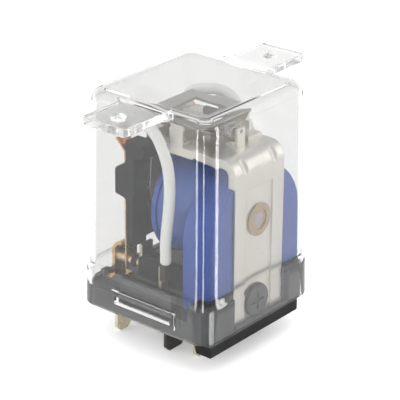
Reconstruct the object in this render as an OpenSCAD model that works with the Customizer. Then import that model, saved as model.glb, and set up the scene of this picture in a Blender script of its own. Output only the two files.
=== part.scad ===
// Plug-on power relay, two changeover poles, under a clear cover with two mounting ears
// Millimetres. X runs from the contact side (-) to the frame side (+), Y from the front
// wall (-) to the rear wall (+), Z up. The relay stands on the tips of its tabs at z = 0.

/* [Cover] */
// Width of the cover along X, at its foot
cover_w = 36; // [35:0.1:40]
// Depth of the cover along Y, at its foot
cover_d = 37; // [36.4:0.1:41]
// Height of the cover above the underside of the base
cover_h = 51; // [50:0.1:58]
// Thickness of the cover's walls
cover_wall = 1.1; // [0.8:0.05:1.3]
// How far each wall leans in from foot to top
cover_draft = 0.8; // [0.2:0.05:1]
// Radius of the upright corners
corner_r = 3.5; // [3:0.1:5]
// Radius of the rounding round the top
top_r = 3; // [1.5:0.1:3]
// Height of the wider skirt round the base
skirt_h = 9.8; // [9.2:0.1:12]
// How far the skirt stands out from the walls above it
skirt_out = 0.7; // [0.4:0.05:1]

/* [Ears] */
// Width of each mounting ear
ear_w = 12; // [9:0.1:16]
// Distance from tip to tip of the two ears
ear_span = 61; // [58:0.1:70]
// Thickness of the ears
ear_t = 2; // [1.2:0.1:3]
// Diameter of the holes in the ears
ear_hole_d = 3.6; // [3:0.1:4.5]
// Distance between the holes in the ears
ear_pitch = 50.8; // [48:0.1:53]
// Radius of the corners at the ears' tips
ear_corner_r = 1; // [0.4:0.1:3]
// Radius of the fillets at the ears' roots
ear_fillet_r = 1.6; // [0.6:0.1:2]

/* [Latches] */
// Width of the window that each latch tongue snaps into
latch_w = 16; // [10:0.1:18]
// Height of that window
latch_h = 1.9; // [1.4:0.1:2.2]
// Height of the window's lower edge above the base's underside
latch_z = 2.9; // [2.6:0.1:3.2]
// Width of the moulded frame round the window
latch_frame = 1.2; // [0.8:0.1:1.5]
// How far that frame stands out from the skirt
latch_frame_out = 0.5; // [0.2:0.05:0.8]
// Place of the latches along X
latch_x = 0.8; // [-1:0.1:1.5]

/* [Base] */
// Thickness of the base's floor
floor_t = 4.6; // [4.2:0.1:5.2]
// Height of the blocks that stand at the frame end
block_h = 9; // [8.2:0.1:9.4]
// Width of the foot rail under the frame end, along X
rail_w = 6; // [5:0.1:6.4]
// How far the foot rail reaches below the base
rail_h = 3; // [2:0.1:4]
// How far the foot rail's rounded end stays inside the base's end
rail_end = 3.1; // [2:0.1:8]
// Play between the base and the cover, and round the pieces that the base holds
fit_gap = 0.1; // [0.05:0.01:0.15]

/* [Tabs] */
// Length of the tabs below the base
tab_len = 8; // [7:0.1:10]
// Width of the two common tabs
wide_tab = 6.3; // [5.8:0.1:6.6]
// Width of the other six tabs
slim_tab = 4.6; // [4:0.1:5]
// Thickness of all tabs
tab_t = 0.8; // [0.6:0.05:1]
// Length of the corner chamfers at each tab's tip
tab_chamfer = 1.1; // [0.6:0.1:1.4]
// Diameter of the catch hole in each tab
tab_hole_d = 1.4; // [1.2:0.1:1.8]

/* [Frame] */
// Place of the magnet's middle plane along Y
mech_y = 1; // [0.8:0.1:1.2]
// Thickness of the steel frame
yoke_t = 2; // [1.8:0.05:2.1]
// Room between the frame's upright leg and the cover's width at its foot
yoke_gap = 1.8; // [1.7:0.05:2]
// Width of the frame's strip
yoke_w = 16.9; // [15:0.1:17.2]
// Underside of the frame's top leg above the base's underside
yoke_under_z = 36.95; // [36.9:0.05:37.4]
// Inner radius of the frame's bend
yoke_bend_r = 1.5; // [1:0.1:2]
// Height at which the channel in the upright leg ends
channel_z = 31.5; // [30:0.1:33]
// Width of the shallow channel pressed into the upright leg
channel_w = 9.2; // [8.6:0.1:10]
// Depth of that channel
channel_depth = 0.3; // [0.2:0.05:0.5]
// Diameter of the frame screw's head
screw_head_d = 7.4; // [6:0.1:7.6]
// Height of the frame screw above the base's underside
screw_z = 4.1; // [3.9:0.1:4.3]
// Place of the frame screw along Y
screw_y = 0.4; // [0:0.1:1]
// Diameter of the frame screw's shank
screw_d = 3; // [2.5:0.1:3.5]

/* [Coil] */
// Height of the coil's axis above the base's underside
coil_z = 23.4; // [23.3:0.05:23.6]
// Diameter of the iron core
core_d = 7; // [6:0.1:8]
// Diameter of the core's pole head
pole_d = 11; // [9:0.1:13]
// Radius of the bobbin's round flange
flange_r = 12.4; // [12.3:0.1:13]
// Thickness of the round flange
flange_t = 1.2; // [0.8:0.1:1.4]
// Radius of the finished winding with its tape
winding_r = 12; // [10:0.1:12.2]
// Thickness of the tape round the winding
tape_t = 0.4; // [0.2:0.05:0.6]
// Room between the bobbin's arch and the cover's depth at its foot
arch_gap = 2.5; // [2.3:0.1:3.3]
// Room between the arch's top and the frame's top leg
arch_top_gap = 1.45; // [1:0.05:2.5]

/* [Armature] */
// Angle through which the armature swings when the coil pulls it in
swing = 3; // [2.6:0.1:3.2]
// Thickness of the armature plate
armature_t = 1.6; // [1.2:0.05:2]
// Width of the armature plate
armature_w = 16.9; // [15:0.1:17.1]
// Room for the contacts: from the cover's width at its foot to the armature's hinge
contact_room = 11.8; // [11.6:0.1:12.4]
// Gap that stays between the armature and the frame's edge
hinge_gap = 0.1; // [0.05:0.01:0.2]
// Lowest point of the armature's edge above the base's underside
armature_low_z = 15.5; // [15:0.1:17]

/* [Contacts] */
// Thickness of the moving springs
spring_t = 0.4; // [0.25:0.01:0.45]
// Width of the moving springs
spring_w = 3.6; // [3:0.1:3.8]
// Distance of each pole's middle from the magnet's middle plane
pole_off = 10.95; // [10.9:0.05:11]
// Diameter of the contact heads
contact_d = 3; // [2.6:0.1:3.6]
// Height of the contacts above the base's underside
contact_z = 9.6; // [9.2:0.1:10.2]
// Thickness of the fixed contacts' strips
strip_t = 0.8; // [0.6:0.05:1]

/* [Leads] */
// Diameter of the insulated flexible leads
lead_d = 2.5; // [2:0.1:2.6]

/* [Hidden] */

$fn = 48;
// Sides of the round parts inside hulls
hull_fn = 32;
// Small overshoot of cuts
cut = 0.05;

// Half sizes of the cover's inside in the skirt
pocket_w = cover_w + 2 * (skirt_out - cover_wall);
pocket_d = cover_d + 2 * (skirt_out - cover_wall);
slope_h = 1.4;
pocket_h = skirt_h - slope_h - 0.3;
// Base outline, and the smaller outline of what stands above the skirt
base_w = pocket_w - 2 * fit_gap;
base_d = pocket_d - 2 * fit_gap;
base_r = corner_r + skirt_out - cover_wall - fit_gap;
upper_inset = skirt_out + 0.3;
upper_z = pocket_h - 0.3;

// Frame
yoke_x = cover_w / 2 - yoke_gap;
yoke_in_x = yoke_x - yoke_t;
yoke_top_z = yoke_under_z + yoke_t;
yoke_foot_z = 0.3;
// Bobbin and core, from the frame towards the armature
block_out_x = yoke_x - 0.6;
block_t = 7.4;
block_x = block_out_x - block_t;
hinge_x = -cover_w / 2 + contact_room;
pole_t = 3;
pole_x = hinge_x + hinge_gap;
flange_x = pole_x + pole_t;
arch_r = cover_d / 2 - mech_y - arch_gap;
arch_z = yoke_under_z - arch_top_gap - arch_r;
neck_d = 5;
stake_d = 7.6;
stake_t = 0.1;
tube_r = core_d / 2 + 0.9;
bobbin_gap = 0.05;
block_foot_z = floor_t + 0.1;

// Armature hinge: the edge of the frame's top leg
hinge_z = yoke_top_z - 0.2;
yoke_end_x = pole_x;
tail_w = 5;
tail_z = yoke_top_z + 3.9;
armature_top_z = yoke_top_z + 1.8;

// Moving springs and contacts
spring_x = hinge_x - 3.95;
slot_gap = 0.05;
carrier_top_z = 38.7;
carrier_low_z = 14;
arm_w = 4.7;
tongue_z = 36.2;
tongue_len = 3.7;
spring_low_z = contact_z - contact_d / 2 - 0.2;
closed_head = 1.6;
open_head = 1;
closed_strip_x = spring_x - 3.85;
closed_tab_x = closed_strip_x + 2;
open_strip_x = spring_x + 4.31;
open_top_z = 15.2;
common_x = block_x - 5.5;
coil_tab_x = block_x + 1.1;
rest_gap = 0.05;
// Face of the open contact: what the moving contact reaches when pulled in, less a gap
open_face_x = spring_x + open_head + (hinge_z - contact_z) * sin(swing) + 0.08;

// Tab middles along Y, measured from the magnet's middle plane
closed_tab_y = cover_d / 2 - 6;
open_tab_y = pole_off - 4.35;
common_tab_y = cover_d / 2 - 6.65;
coil_tab_y = cover_d / 2 - 7.9;
shoulder_t = 0.8;

// Distance of the common risers' outer edges, and of the coil-side walls, from the
// magnet's middle plane: front, then rear
riser_y = [cover_d / 2 - 2.3, cover_d / 2 - 2.9];
wall_y = [cover_d / 2 - 4.3, cover_d / 2 - 5.9];
// Middle of the leads' ends, in from the risers' outer edges
lead_in = [0.4, 1.3];
lead_low_z = 14.6;
// Highest stretch of the coil-side walls: from the open strip's wall, and from the block
crest = [3.34, 6.2];

// Routes of the flexible leads, from the springs' tongues to the common tabs
front_route = [[-12.5, -9.95, 39.35], [-12.9, -9.95, 40.2], [-12.6, -9.95, 41.3],
    [-11.6, -10, 42.2], [-10, -10.1, 42.8], [-7.8, -10.4, 43.3], [-5, -11.1, 43.7],
    [-2.4, -12.2, 43.6], [0.4, -13.4, 42.7], [2.7, -14.3, 40.8], [4.2, -14.7, 38.4],
    [4.9, -14.8, 35.6], [5.1, -14.8, 32.6], [5, -14.8, 29.4], [4.7, -14.8, 26],
    [4.3, -14.8, 22.6], [4, -14.8, 19.6], [4, -14.8, 17], [4, -14.8, 14.6]];
rear_route = [[-12.5, 11.95, 39.35], [-12.9, 11.95, 40.2], [-12.5, 12.1, 41.4],
    [-11.3, 12.5, 42.4], [-9.6, 13.1, 42.9], [-7.6, 13.9, 43.2], [-5.6, 14.7, 43.2],
    [-3.4, 15.2, 42.5], [-1.4, 15.3, 41], [0.4, 15.3, 38.8], [1.8, 15.3, 36.2],
    [2.8, 15.3, 33.4], [3.4, 15.3, 30.4], [3.8, 15.3, 27], [4.1, 15.3, 23.6],
    [4.3, 15.3, 20.4], [4.4, 15.3, 17.4], [4.4, 15.3, 14.6]];

// Colours
clear_c = [0.90, 0.93, 0.95];
black_c = [0.16, 0.16, 0.17];
steel_c = [0.80, 0.79, 0.76];
dark_steel_c = [0.42, 0.43, 0.45];
blue_c = [0.14, 0.27, 0.60];
copper_c = [0.75, 0.48, 0.30];
brass_c = [0.72, 0.64, 0.42];
silver_c = [0.84, 0.84, 0.82];
white_c = [0.90, 0.90, 0.88];

// Raises what is measured from the base's underside onto the tabs
module lift() {
    translate([0, 0, tab_len]) children();
}

// Rounded rectangle, centred
module plan(w, d, r) {
    union() {
        square([w - 2 * r, d], center = true);
        square([w, d - 2 * r], center = true);
        for (sx = [-1, 1], sy = [-1, 1])
            translate([sx * (w / 2 - r), sy * (d / 2 - r)]) circle(r);
    }
}

// Block between two corners
module span(a, b) {
    translate(a) cube(b - a);
}

// Round bar along X from x0 to x1
module bar_x(d, x0, x1, y, z) {
    translate([x0, y, z]) rotate([0, 90, 0]) cylinder(d = d, h = x1 - x0);
}

// Outline in the XZ plane, drawn out along Y from y0 to y1
module side_profile(points, y0, y1) {
    translate([0, y1, 0]) rotate([90, 0, 0]) linear_extrude(y1 - y0) polygon(points);
}

// Mirror image about the magnet's middle plane
module rear_pole() {
    translate([0, 2 * mech_y, 0]) mirror([0, 1, 0]) children();
}

module both_poles() {
    children();
    rear_pole() children();
}

// Drafted box with rounded corners and a rounded top edge, shrunk by inset all round
module drafted_box(inset, foot, top) {
    lean = cover_draft / cover_h;
    r = corner_r - inset;
    edge_r = max(top_r - inset, 0.5);
    ring_z = top - edge_r;
    foot_w = cover_w / 2 - inset - lean * foot - r;
    foot_d = cover_d / 2 - inset - lean * foot - r;
    ring_w = cover_w / 2 - inset - lean * ring_z - r;
    ring_d = cover_d / 2 - inset - lean * ring_z - r;
    hull() {
        for (sx = [-1, 1], sy = [-1, 1]) {
            translate([sx * foot_w, sy * foot_d, foot]) cylinder(r = r, h = 0.01, $fn = hull_fn);
            translate([sx * ring_w, sy * ring_d, ring_z]) rotate_extrude($fn = hull_fn) {
                intersection() {
                    translate([r - edge_r, 0]) circle(edge_r, $fn = hull_fn);
                    square([r, edge_r]);
                }
                square([r - edge_r, edge_r]);
            }
        }
    }
}

// Clear cover: drafted shell, skirt with two latch windows, and two ears
module cover() {
    skirt_w = cover_w + 2 * skirt_out;
    skirt_d = cover_d + 2 * skirt_out;
    skirt_r = corner_r + skirt_out;
    ear_z = cover_h - ear_t;
    ear_root = cover_d / 2 - cover_draft - top_r;
    frame_w = latch_w + 2 * latch_frame;
    frame_z = latch_z - latch_frame;
    frame_h = latch_h + 2 * latch_frame;
    color(clear_c) lift() difference() {
        union() {
            drafted_box(0, 0, cover_h);
            linear_extrude(skirt_h - slope_h) plan(skirt_w, skirt_d, skirt_r);
            hull() {
                for (sx = [-1, 1], sy = [-1, 1])
                    translate([sx * (cover_w / 2 - corner_r), sy * (cover_d / 2 - corner_r),
                        skirt_h - slope_h])
                        cylinder(r1 = skirt_r, r2 = corner_r - 0.2, h = slope_h, $fn = hull_fn);
            }
            for (side = [-1, 1]) {
                ear(side, ear_root, ear_z);
                translate([latch_x - frame_w / 2, side * skirt_d / 2 - latch_frame_out, frame_z])
                    cube([frame_w, 2 * latch_frame_out, frame_h]);
            }
        }
        drafted_box(cover_wall, -1, cover_h - cover_wall);
        translate([0, 0, -1]) linear_extrude(pocket_h + 1)
            plan(pocket_w, pocket_d, skirt_r - cover_wall);
        hull() {
            for (sx = [-1, 1], sy = [-1, 1])
                translate([sx * (cover_w / 2 - corner_r), sy * (cover_d / 2 - corner_r), pocket_h])
                    cylinder(r1 = skirt_r - cover_wall, r2 = corner_r - cover_wall - 0.2,
                        h = slope_h, $fn = hull_fn);
        }
        for (side = [-1, 1]) {
            translate([0, side * ear_pitch / 2, ear_z - 1])
                cylinder(d = ear_hole_d, h = ear_t + 2);
            translate([latch_x, side * skirt_d / 2, latch_z + latch_h / 2])
                cube([latch_w, 4 * cover_wall, latch_h], center = true);
        }
    }
}

// One ear, from inside the wall out to its tip
module ear(side, root, z) {
    tip = ear_span / 2;
    translate([0, 0, z]) linear_extrude(ear_t) {
        translate([-ear_w / 2, side > 0 ? root : -tip + ear_corner_r])
            square([ear_w, tip - root - ear_corner_r]);
        translate([-ear_w / 2 + ear_corner_r, side > 0 ? tip - 2 * ear_corner_r : -tip])
            square([ear_w - 2 * ear_corner_r, 2 * ear_corner_r]);
        for (sx = [-1, 1]) {
            translate([sx * (ear_w / 2 - ear_corner_r), side * (tip - ear_corner_r)])
                circle(ear_corner_r);
            translate([sx * ear_w / 2, side * (cover_d / 2 - cover_draft - 0.3)])
                root_fillet(sx, side);
        }
    }
}

// Concave fillet in plan between an ear and the wall
module root_fillet(sx, sy) {
    difference() {
        translate([sx > 0 ? -0.5 : -ear_fillet_r, sy > 0 ? -0.5 : -ear_fillet_r])
            square(ear_fillet_r + 0.5);
        translate([sx * ear_fillet_r, sy * ear_fillet_r]) circle(ear_fillet_r);
    }
}

// Moulded base with its blocks, walls, latch tongues and foot rail
module base() {
    color(black_c) lift() difference() {
        union() {
            linear_extrude(floor_t) plan(base_w, base_d, base_r);
            base_upper();
            foot_rail();
            for (side = [-1, 1]) latch_tongue(side);
        }
        base_pockets();
    }
}

// What stands on the floor, cut to the outline that the cover leaves free
module base_upper() {
    inner_w = base_w - 2 * upper_inset;
    inner_d = base_d - 2 * upper_inset;
    intersection() {
        union() {
            linear_extrude(upper_z) plan(base_w, base_d, base_r);
            linear_extrude(cover_h) plan(inner_w, inner_d, base_r - upper_inset / 2);
        }
        union() {
            frame_end_blocks();
            latch_blocks();
            contact_walls(0);
            rear_pole() contact_walls(1);
            end_wall();
        }
    }
}

// Blocks on both sides of the frame's foot, and the boss that takes the frame screw
module frame_end_blocks() {
    z0 = floor_t - cut;
    half_leg = yoke_w / 2 + fit_gap;
    for (side = [-1, 1])
        span([block_out_x + fit_gap, side < 0 ? -base_d / 2 : mech_y + half_leg, z0],
            [base_w / 2, side < 0 ? mech_y - half_leg : base_d / 2, block_h]);
    span([block_out_x - 2.8, -base_d / 2, z0],
        [base_w / 2, mech_y - arch_r - fit_gap, block_h - 0.3]);
    span([yoke_in_x - 4.4, mech_y - 5, z0], [yoke_in_x - fit_gap, mech_y + 5, screw_z + 3.6]);
}

// Blocks behind the latch windows
module latch_blocks() {
    y0 = base_d / 2 - upper_inset;
    top = block_h - 0.6;
    for (side = [-1, 1])
        translate([latch_x - 0.8, side * (y0 - 0.85), (floor_t - cut + top) / 2])
            cube([14.8, 1.7, top - floor_t + cut], center = true);
}

// Wedge that snaps into a latch window
module latch_tongue(side) {
    h = latch_h - 2 * fit_gap;
    out = 0.4;
    translate([latch_x - latch_w / 2 + fit_gap, 0, latch_z + fit_gap])
        cube_wedge(latch_w - 2 * fit_gap, side, base_d / 2, out, h);
}

// Wedge along X that leans out towards its lower edge
module cube_wedge(w, side, root, out, h) {
    points = [[root - 1, 0], [root + out, 0], [root + out, h * 0.4], [root, h], [root - 1, h]];
    rotate([90, 0, 90]) linear_extrude(w)
        polygon([for (p = points) [side * p[0], p[1]]]);
}

// Walls of one pole: behind the open contact, beside the coil and round the tabs
module contact_walls(n) {
    z0 = floor_t - cut;
    y_in = mech_y - pole_off + spring_w / 2;
    wall_x = open_strip_x + strip_t / 2 + fit_gap;
    y_wall = mech_y - wall_y[n];
    side_profile([[wall_x, z0], [block_x - 0.2, z0], [block_x - 0.2, 13.6],
        [block_x - crest[1], 14], [wall_x + crest[0], 14], [wall_x, 12.6]], y_wall, y_wall + 1.5);
    span([wall_x, y_wall, z0], [wall_x + 2.2, y_in, 12.6]);
    span([-base_w / 2 + 1.2, mech_y - closed_tab_y - 2.05, z0],
        [-base_w / 2 + 2.2, mech_y - closed_tab_y, 6.5]);
    side_profile([for (q = [[0.6, z0], [6.8, z0], [6.8, 7.7], [3.8, 7.7], [1, 5]])
        [closed_strip_x + q[0], q[1]]],
        -base_d / 2 + 2.9, -base_d / 2 + 4);
}

// Low wall across the contact end
module end_wall() {
    span([-base_w / 2, -base_d / 2, floor_t - cut], [-base_w / 2 + 1.4, base_d / 2, 5]);
}

// Rail under the frame end, with a chamfered front corner and a rounded rear one
module foot_rail() {
    r = 1.6;
    x1 = base_w / 2 + skirt_out;
    x0 = x1 - rail_w;
    y0 = -base_d / 2 + 0.9;
    rail_l = base_d - 0.9 - rail_end;
    span([x0 + 0.5, y0 + 2, -1], [base_w / 2 - 0.5, y0 + rail_l - 2, 1]);
    translate([0, 0, -rail_h]) linear_extrude(rail_h) {
        polygon([[x0, y0 + 1.8], [x0 + 2, y0], [x1, y0], [x1, y0 + rail_l - r],
            [x1 - r, y0 + rail_l - r], [x1 - r, y0 + rail_l], [x0, y0 + rail_l]]);
        translate([x1 - r, y0 + rail_l - r]) circle(r);
    }
}

// Slots for the tabs, the frame's foot and the frame screw
module base_pockets() {
    half = yoke_w / 2 + fit_gap;
    span([yoke_in_x - fit_gap, mech_y - half, yoke_foot_z - fit_gap],
        [base_w, mech_y + half, floor_t + 10]);
    span([yoke_x, mech_y - half - 1.2, yoke_foot_z - fit_gap],
        [base_w, mech_y + half + 1.2, floor_t + 10]);
    bar_x(screw_d - 0.3, yoke_in_x - 4, yoke_in_x, screw_y, screw_z);
    for (n = [0, 1]) mirror_pole(n) {
        tab_slot(closed_tab_x, closed_tab_y, slim_tab);
        tab_slot(open_strip_x, open_tab_y, slim_tab);
        tab_slot(common_x, common_tab_y, wide_tab);
        tab_slot(coil_tab_x, coil_tab_y, slim_tab);
        riser_slot(n);
    }
}

// Leaves a front pole's piece as it is for n = 0, and mirrors it to the rear for n = 1
module mirror_pole(n) {
    translate([0, 2 * mech_y * n, 0]) mirror([0, n, 0]) children();
}

// Slot through the floor for one front tab
module tab_slot(x, y, w) {
    translate([x, mech_y - y, floor_t / 2])
        cube([tab_t + 2 * fit_gap, w + 2 * fit_gap, floor_t + 1], center = true);
}

// Gap in the coil-side wall for the common tab's riser
module riser_slot(n) {
    span([common_x - tab_t / 2 - fit_gap, mech_y - riser_y[n] - fit_gap, floor_t],
        [common_x + tab_t / 2 + fit_gap, mech_y - common_tab_y + wide_tab / 2 + fit_gap, 20]);
}

// Bent steel frame: upright leg with channel and holes, bend with two ribs, top leg
module yoke() {
    half = yoke_w / 2;
    r_out = yoke_bend_r + yoke_t;
    cx = yoke_x - r_out;
    cz = yoke_top_z - r_out;
    color(steel_c) lift() difference() {
        translate([0, mech_y, 0]) union() {
            side_profile([[yoke_in_x, yoke_foot_z], [yoke_x, yoke_foot_z], [yoke_x, cz + cut],
                [yoke_in_x, cz + cut]], -half, half);
            side_profile([[yoke_end_x, yoke_under_z], [cx + cut, yoke_under_z],
                [cx + cut, yoke_top_z], [yoke_end_x, yoke_top_z]], -half, half);
            yoke_bend(cx, cz, half);
        }
        bar_x(neck_d + 2 * bobbin_gap, yoke_in_x - 1, yoke_x + 1, mech_y, coil_z);
        bar_x(screw_d + 0.4, yoke_in_x - 1, yoke_x + 1, screw_y, screw_z);
        span([yoke_x - channel_depth, mech_y - channel_w / 2, -1],
            [yoke_x + 1, mech_y + channel_w / 2, channel_z]);
        for (side = [-1, 1]) bend_rib(cx, cz, mech_y + side * 5);
        for (q = rivet_places) translate([q[0], q[1], yoke_under_z - 1])
            cylinder(d = rivet_d, h = yoke_t + 2);
    }
}

// Quarter of a hollow cylinder that joins the two legs
module yoke_bend(cx, cz, half) {
    r_out = yoke_bend_r + yoke_t;
    translate([cx, half, cz]) rotate([90, 0, 0]) intersection() {
        difference() {
            cylinder(r = r_out, h = 2 * half);
            translate([0, 0, -1]) cylinder(r = yoke_bend_r, h = 2 * half + 2);
        }
        translate([0, 0, -1]) cube([r_out, r_out, 2 * half + 2]);
    }
}

// Pressed rib that stiffens the bend: a narrow hollow across its outside
module bend_rib(cx, cz, y) {
    r = 1.3;
    a = 30;
    d = (yoke_bend_r + yoke_t) * cos(a) + r;
    translate([cx + d * cos(a), y, cz + d * sin(a)]) rotate([0, -a, 0])
        cylinder(r = r, h = 12, center = true);
}

// Screw that holds the frame to the base, with a crossed recess
module frame_screw() {
    x0 = yoke_x - channel_depth;
    head_t = 0.8;
    color(dark_steel_c) lift() difference() {
        union() {
            bar_x(screw_head_d, x0, x0 + head_t, screw_y, screw_z);
            bar_x(screw_d - 0.4, yoke_in_x - 3.8, x0 + cut, screw_y, screw_z);
        }
        translate([x0 + head_t, screw_y, screw_z]) {
            cube([1, 4.2, 0.8], center = true);
            cube([1, 0.8, 4.2], center = true);
        }
    }
}

// Iron core with its pole head and the neck staked over in the frame
module core() {
    x0 = yoke_x - channel_depth;
    color(steel_c) lift() difference() {
        union() {
            bar_x(pole_d, pole_x, flange_x, mech_y, coil_z);
            bar_x(core_d, pole_x, yoke_in_x, mech_y, coil_z);
            bar_x(neck_d, yoke_in_x - cut, x0 + 0.2, mech_y, coil_z);
            bar_x(stake_d, x0, yoke_x + stake_t, mech_y, coil_z);
        }
        bar_x(stake_d - 2.8, x0 + 0.15, yoke_x + 1, mech_y, coil_z);
    }
}

// Blue bobbin: round flange, tube, and the arched end block that wraps the frame
module bobbin() {
    half = yoke_w / 2 + 0.2;
    color(blue_c) lift() difference() {
        union() {
            bar_x(2 * flange_r, flange_x, flange_x + flange_t, mech_y, coil_z);
            bar_x(2 * tube_r, flange_x, block_x + 1, mech_y, coil_z);
            bar_x(2 * arch_r, block_x, block_out_x, mech_y, arch_z);
            span([block_x, mech_y - arch_r, block_foot_z],
                [block_out_x, mech_y + arch_r, arch_z]);
        }
        bar_x(core_d + 2 * bobbin_gap, flange_x - 1, yoke_x + 1, mech_y, coil_z);
        span([yoke_in_x - bobbin_gap, mech_y - half, 0],
            [yoke_x + 1, mech_y + half, cover_h]);
        span([yoke_in_x - 4.5, mech_y - 5.2, 0], [yoke_x, mech_y + 5.2, screw_z + 3.8]);
        both_poles() span([coil_tab_x - tab_t / 2 - 0.2, mech_y - coil_tab_y - 1.6, 0],
            [coil_tab_x + tab_t / 2 + 0.2, mech_y - coil_tab_y + 1.6, 12.4]);
    }
}

// Hollow roll round the bobbin's tube
module roll(r_in, r_out) {
    x0 = flange_x + flange_t + bobbin_gap;
    x1 = block_x - bobbin_gap;
    difference() {
        bar_x(2 * r_out, x0, x1, mech_y, coil_z);
        bar_x(2 * r_in, x0 - 1, x1 + 1, mech_y, coil_z);
    }
}

// Enamelled copper wire, wound
module copper_winding() {
    color(copper_c) lift() roll(tube_r + bobbin_gap, winding_r - tape_t);
}

// Blue tape round the winding
module coil_tape() {
    color(blue_c) lift() roll(winding_r - tape_t, winding_r);
}

// Blade of a front tab: chamfered tip and catch hole, up to height top
module blade(x, y, w, top) {
    ym = mech_y - y;
    translate([x - tab_t / 2, 0, 0]) rotate([90, 0, 90]) linear_extrude(tab_t) difference() {
        polygon([[ym - w / 2, top], [ym - w / 2, tab_chamfer - tab_len],
            [ym - w / 2 + tab_chamfer, -tab_len], [ym + w / 2 - tab_chamfer, -tab_len],
            [ym + w / 2, tab_chamfer - tab_len], [ym + w / 2, top]]);
        translate([ym, -tab_len * 0.55]) circle(d = tab_hole_d);
    }
}

// Front tab of a normally closed contact: blade, foot plate and riser with a curled top
module closed_tab() {
    y0 = mech_y - pole_off - spring_w / 2;
    x0 = closed_strip_x - strip_t / 2;
    x_in = closed_strip_x + strip_t / 2;
    curl_z = contact_z + contact_d / 2 + 0.1;
    curl_r = 2.8;
    color(brass_c) lift() difference() {
        union() {
            blade(closed_tab_x, closed_tab_y, slim_tab, floor_t + shoulder_t);
            span([x0, mech_y - closed_tab_y - slim_tab / 2, floor_t],
                [closed_tab_x + tab_t / 2, y0 + spring_w, floor_t + shoulder_t]);
            span([x0, y0, floor_t], [x_in, y0 + spring_w, curl_z]);
            side_profile(concat(
                [for (a = [180:-10:90]) [x0 + curl_r + curl_r * cos(a),
                    curl_z - cut + curl_r * sin(a)]],
                [for (a = [90:10:180]) [x0 + curl_r + (curl_r - strip_t) * cos(a),
                    curl_z - cut + (curl_r - strip_t) * sin(a)]]), y0, y0 + spring_w);
        }
        bar_x(1.6, x_in - 2, x_in + 1, mech_y - pole_off, contact_z);
    }
}

// Front tab of a normally open contact
module open_tab() {
    y0 = mech_y - pole_off - spring_w / 2;
    x0 = open_strip_x - strip_t / 2;
    color(brass_c) lift() difference() {
        union() {
            blade(open_strip_x, open_tab_y, slim_tab, floor_t + 2.6);
            span([x0, y0, floor_t + cut], [x0 + strip_t, mech_y - open_tab_y + slim_tab / 2,
                floor_t + 2.6]);
            span([x0, y0, floor_t + cut], [x0 + strip_t, y0 + spring_w,
                open_top_z]);
        }
        bar_x(1.6, x0 - 1, x0 + strip_t + 1, mech_y - pole_off, contact_z);
    }
}

// Common tab, with the riser that carries the flexible lead
module common_tab(n) {
    y_low = mech_y - riser_y[n];
    y_high = mech_y - common_tab_y + wide_tab / 2;
    color(brass_c) lift() union() {
        blade(common_x, common_tab_y, wide_tab, floor_t + 2);
        span([common_x - tab_t / 2, y_low, floor_t + cut], [common_x + tab_t / 2, y_high,
            floor_t + 2]);
        span([common_x - tab_t / 2, y_low, floor_t + cut], [common_x + tab_t / 2, y_low + 3,
            13.5]);
    }
}

// Front coil tab, with its post inside the bobbin's end block
module coil_tab() {
    color(brass_c) lift() union() {
        blade(coil_tab_x, coil_tab_y, slim_tab, floor_t);
        span([coil_tab_x - tab_t / 2, mech_y - coil_tab_y - 1.2, 0],
            [coil_tab_x + tab_t / 2, mech_y - coil_tab_y + 1.2, 12]);
    }
}

module coil_tab_front() { coil_tab(); }
module coil_tab_rear() { rear_pole() coil_tab(); }
module closed_tab_front() { closed_tab(); }
module closed_tab_rear() { rear_pole() closed_tab(); }
module open_tab_front() { open_tab(); }
module open_tab_rear() { rear_pole() open_tab(); }
module common_tab_front() { common_tab(0); }
module common_tab_rear() { rear_pole() common_tab(1); }

// Rivet-shaped contact on the closed strip, facing +X
module closed_contact() {
    x0 = closed_strip_x + strip_t / 2;
    x1 = spring_x - spring_t - closed_head - rest_gap;
    color(silver_c) lift() {
        bar_x(contact_d, x0, x1, mech_y - pole_off, contact_z);
        bar_x(1.5, x0 - strip_t - 0.3, x0 + cut, mech_y - pole_off, contact_z);
        bar_x(2.4, x0 - strip_t - 0.3, x0 - strip_t, mech_y - pole_off, contact_z);
    }
}

// Rivet-shaped contact on the open strip, facing -X
module open_contact() {
    x0 = open_strip_x - strip_t / 2;
    color(silver_c) lift() {
        bar_x(contact_d, open_face_x, x0, mech_y - pole_off, contact_z);
        bar_x(1.5, x0 - cut, x0 + strip_t, mech_y - pole_off, contact_z);
    }
}

module closed_contact_front() { closed_contact(); }
module closed_contact_rear() { rear_pole() closed_contact(); }
module open_contact_front() { open_contact(); }
module open_contact_rear() { rear_pole() open_contact(); }

// Angle riveted to the frame's top leg, which holds the return spring
anchor_w = 2.6;
anchor_x1 = yoke_x - 5.3;
anchor_x0 = anchor_x1 - 3.3;
anchor_t = 0.6;
rivet_d = 1.6;
spring_axis_z = 41.6;
module spring_anchor() {
    z0 = yoke_top_z;
    color(steel_c) lift() difference() {
        union() {
            span([anchor_x0, mech_y - anchor_w / 2, z0], [anchor_x1, mech_y + anchor_w / 2,
                z0 + anchor_t]);
            span([anchor_x1 - anchor_t, mech_y - anchor_w / 2, z0],
                [anchor_x1, mech_y + anchor_w / 2, z0 + 4.2]);
        }
        translate([rivet_places[0][0], rivet_places[0][1], z0 - 1])
            cylinder(d = rivet_d, h = anchor_t + 2);
        bar_x(1, anchor_x1 - 2, anchor_x1 + 1, mech_y, spring_axis_z + 0.8);
    }
}

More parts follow.
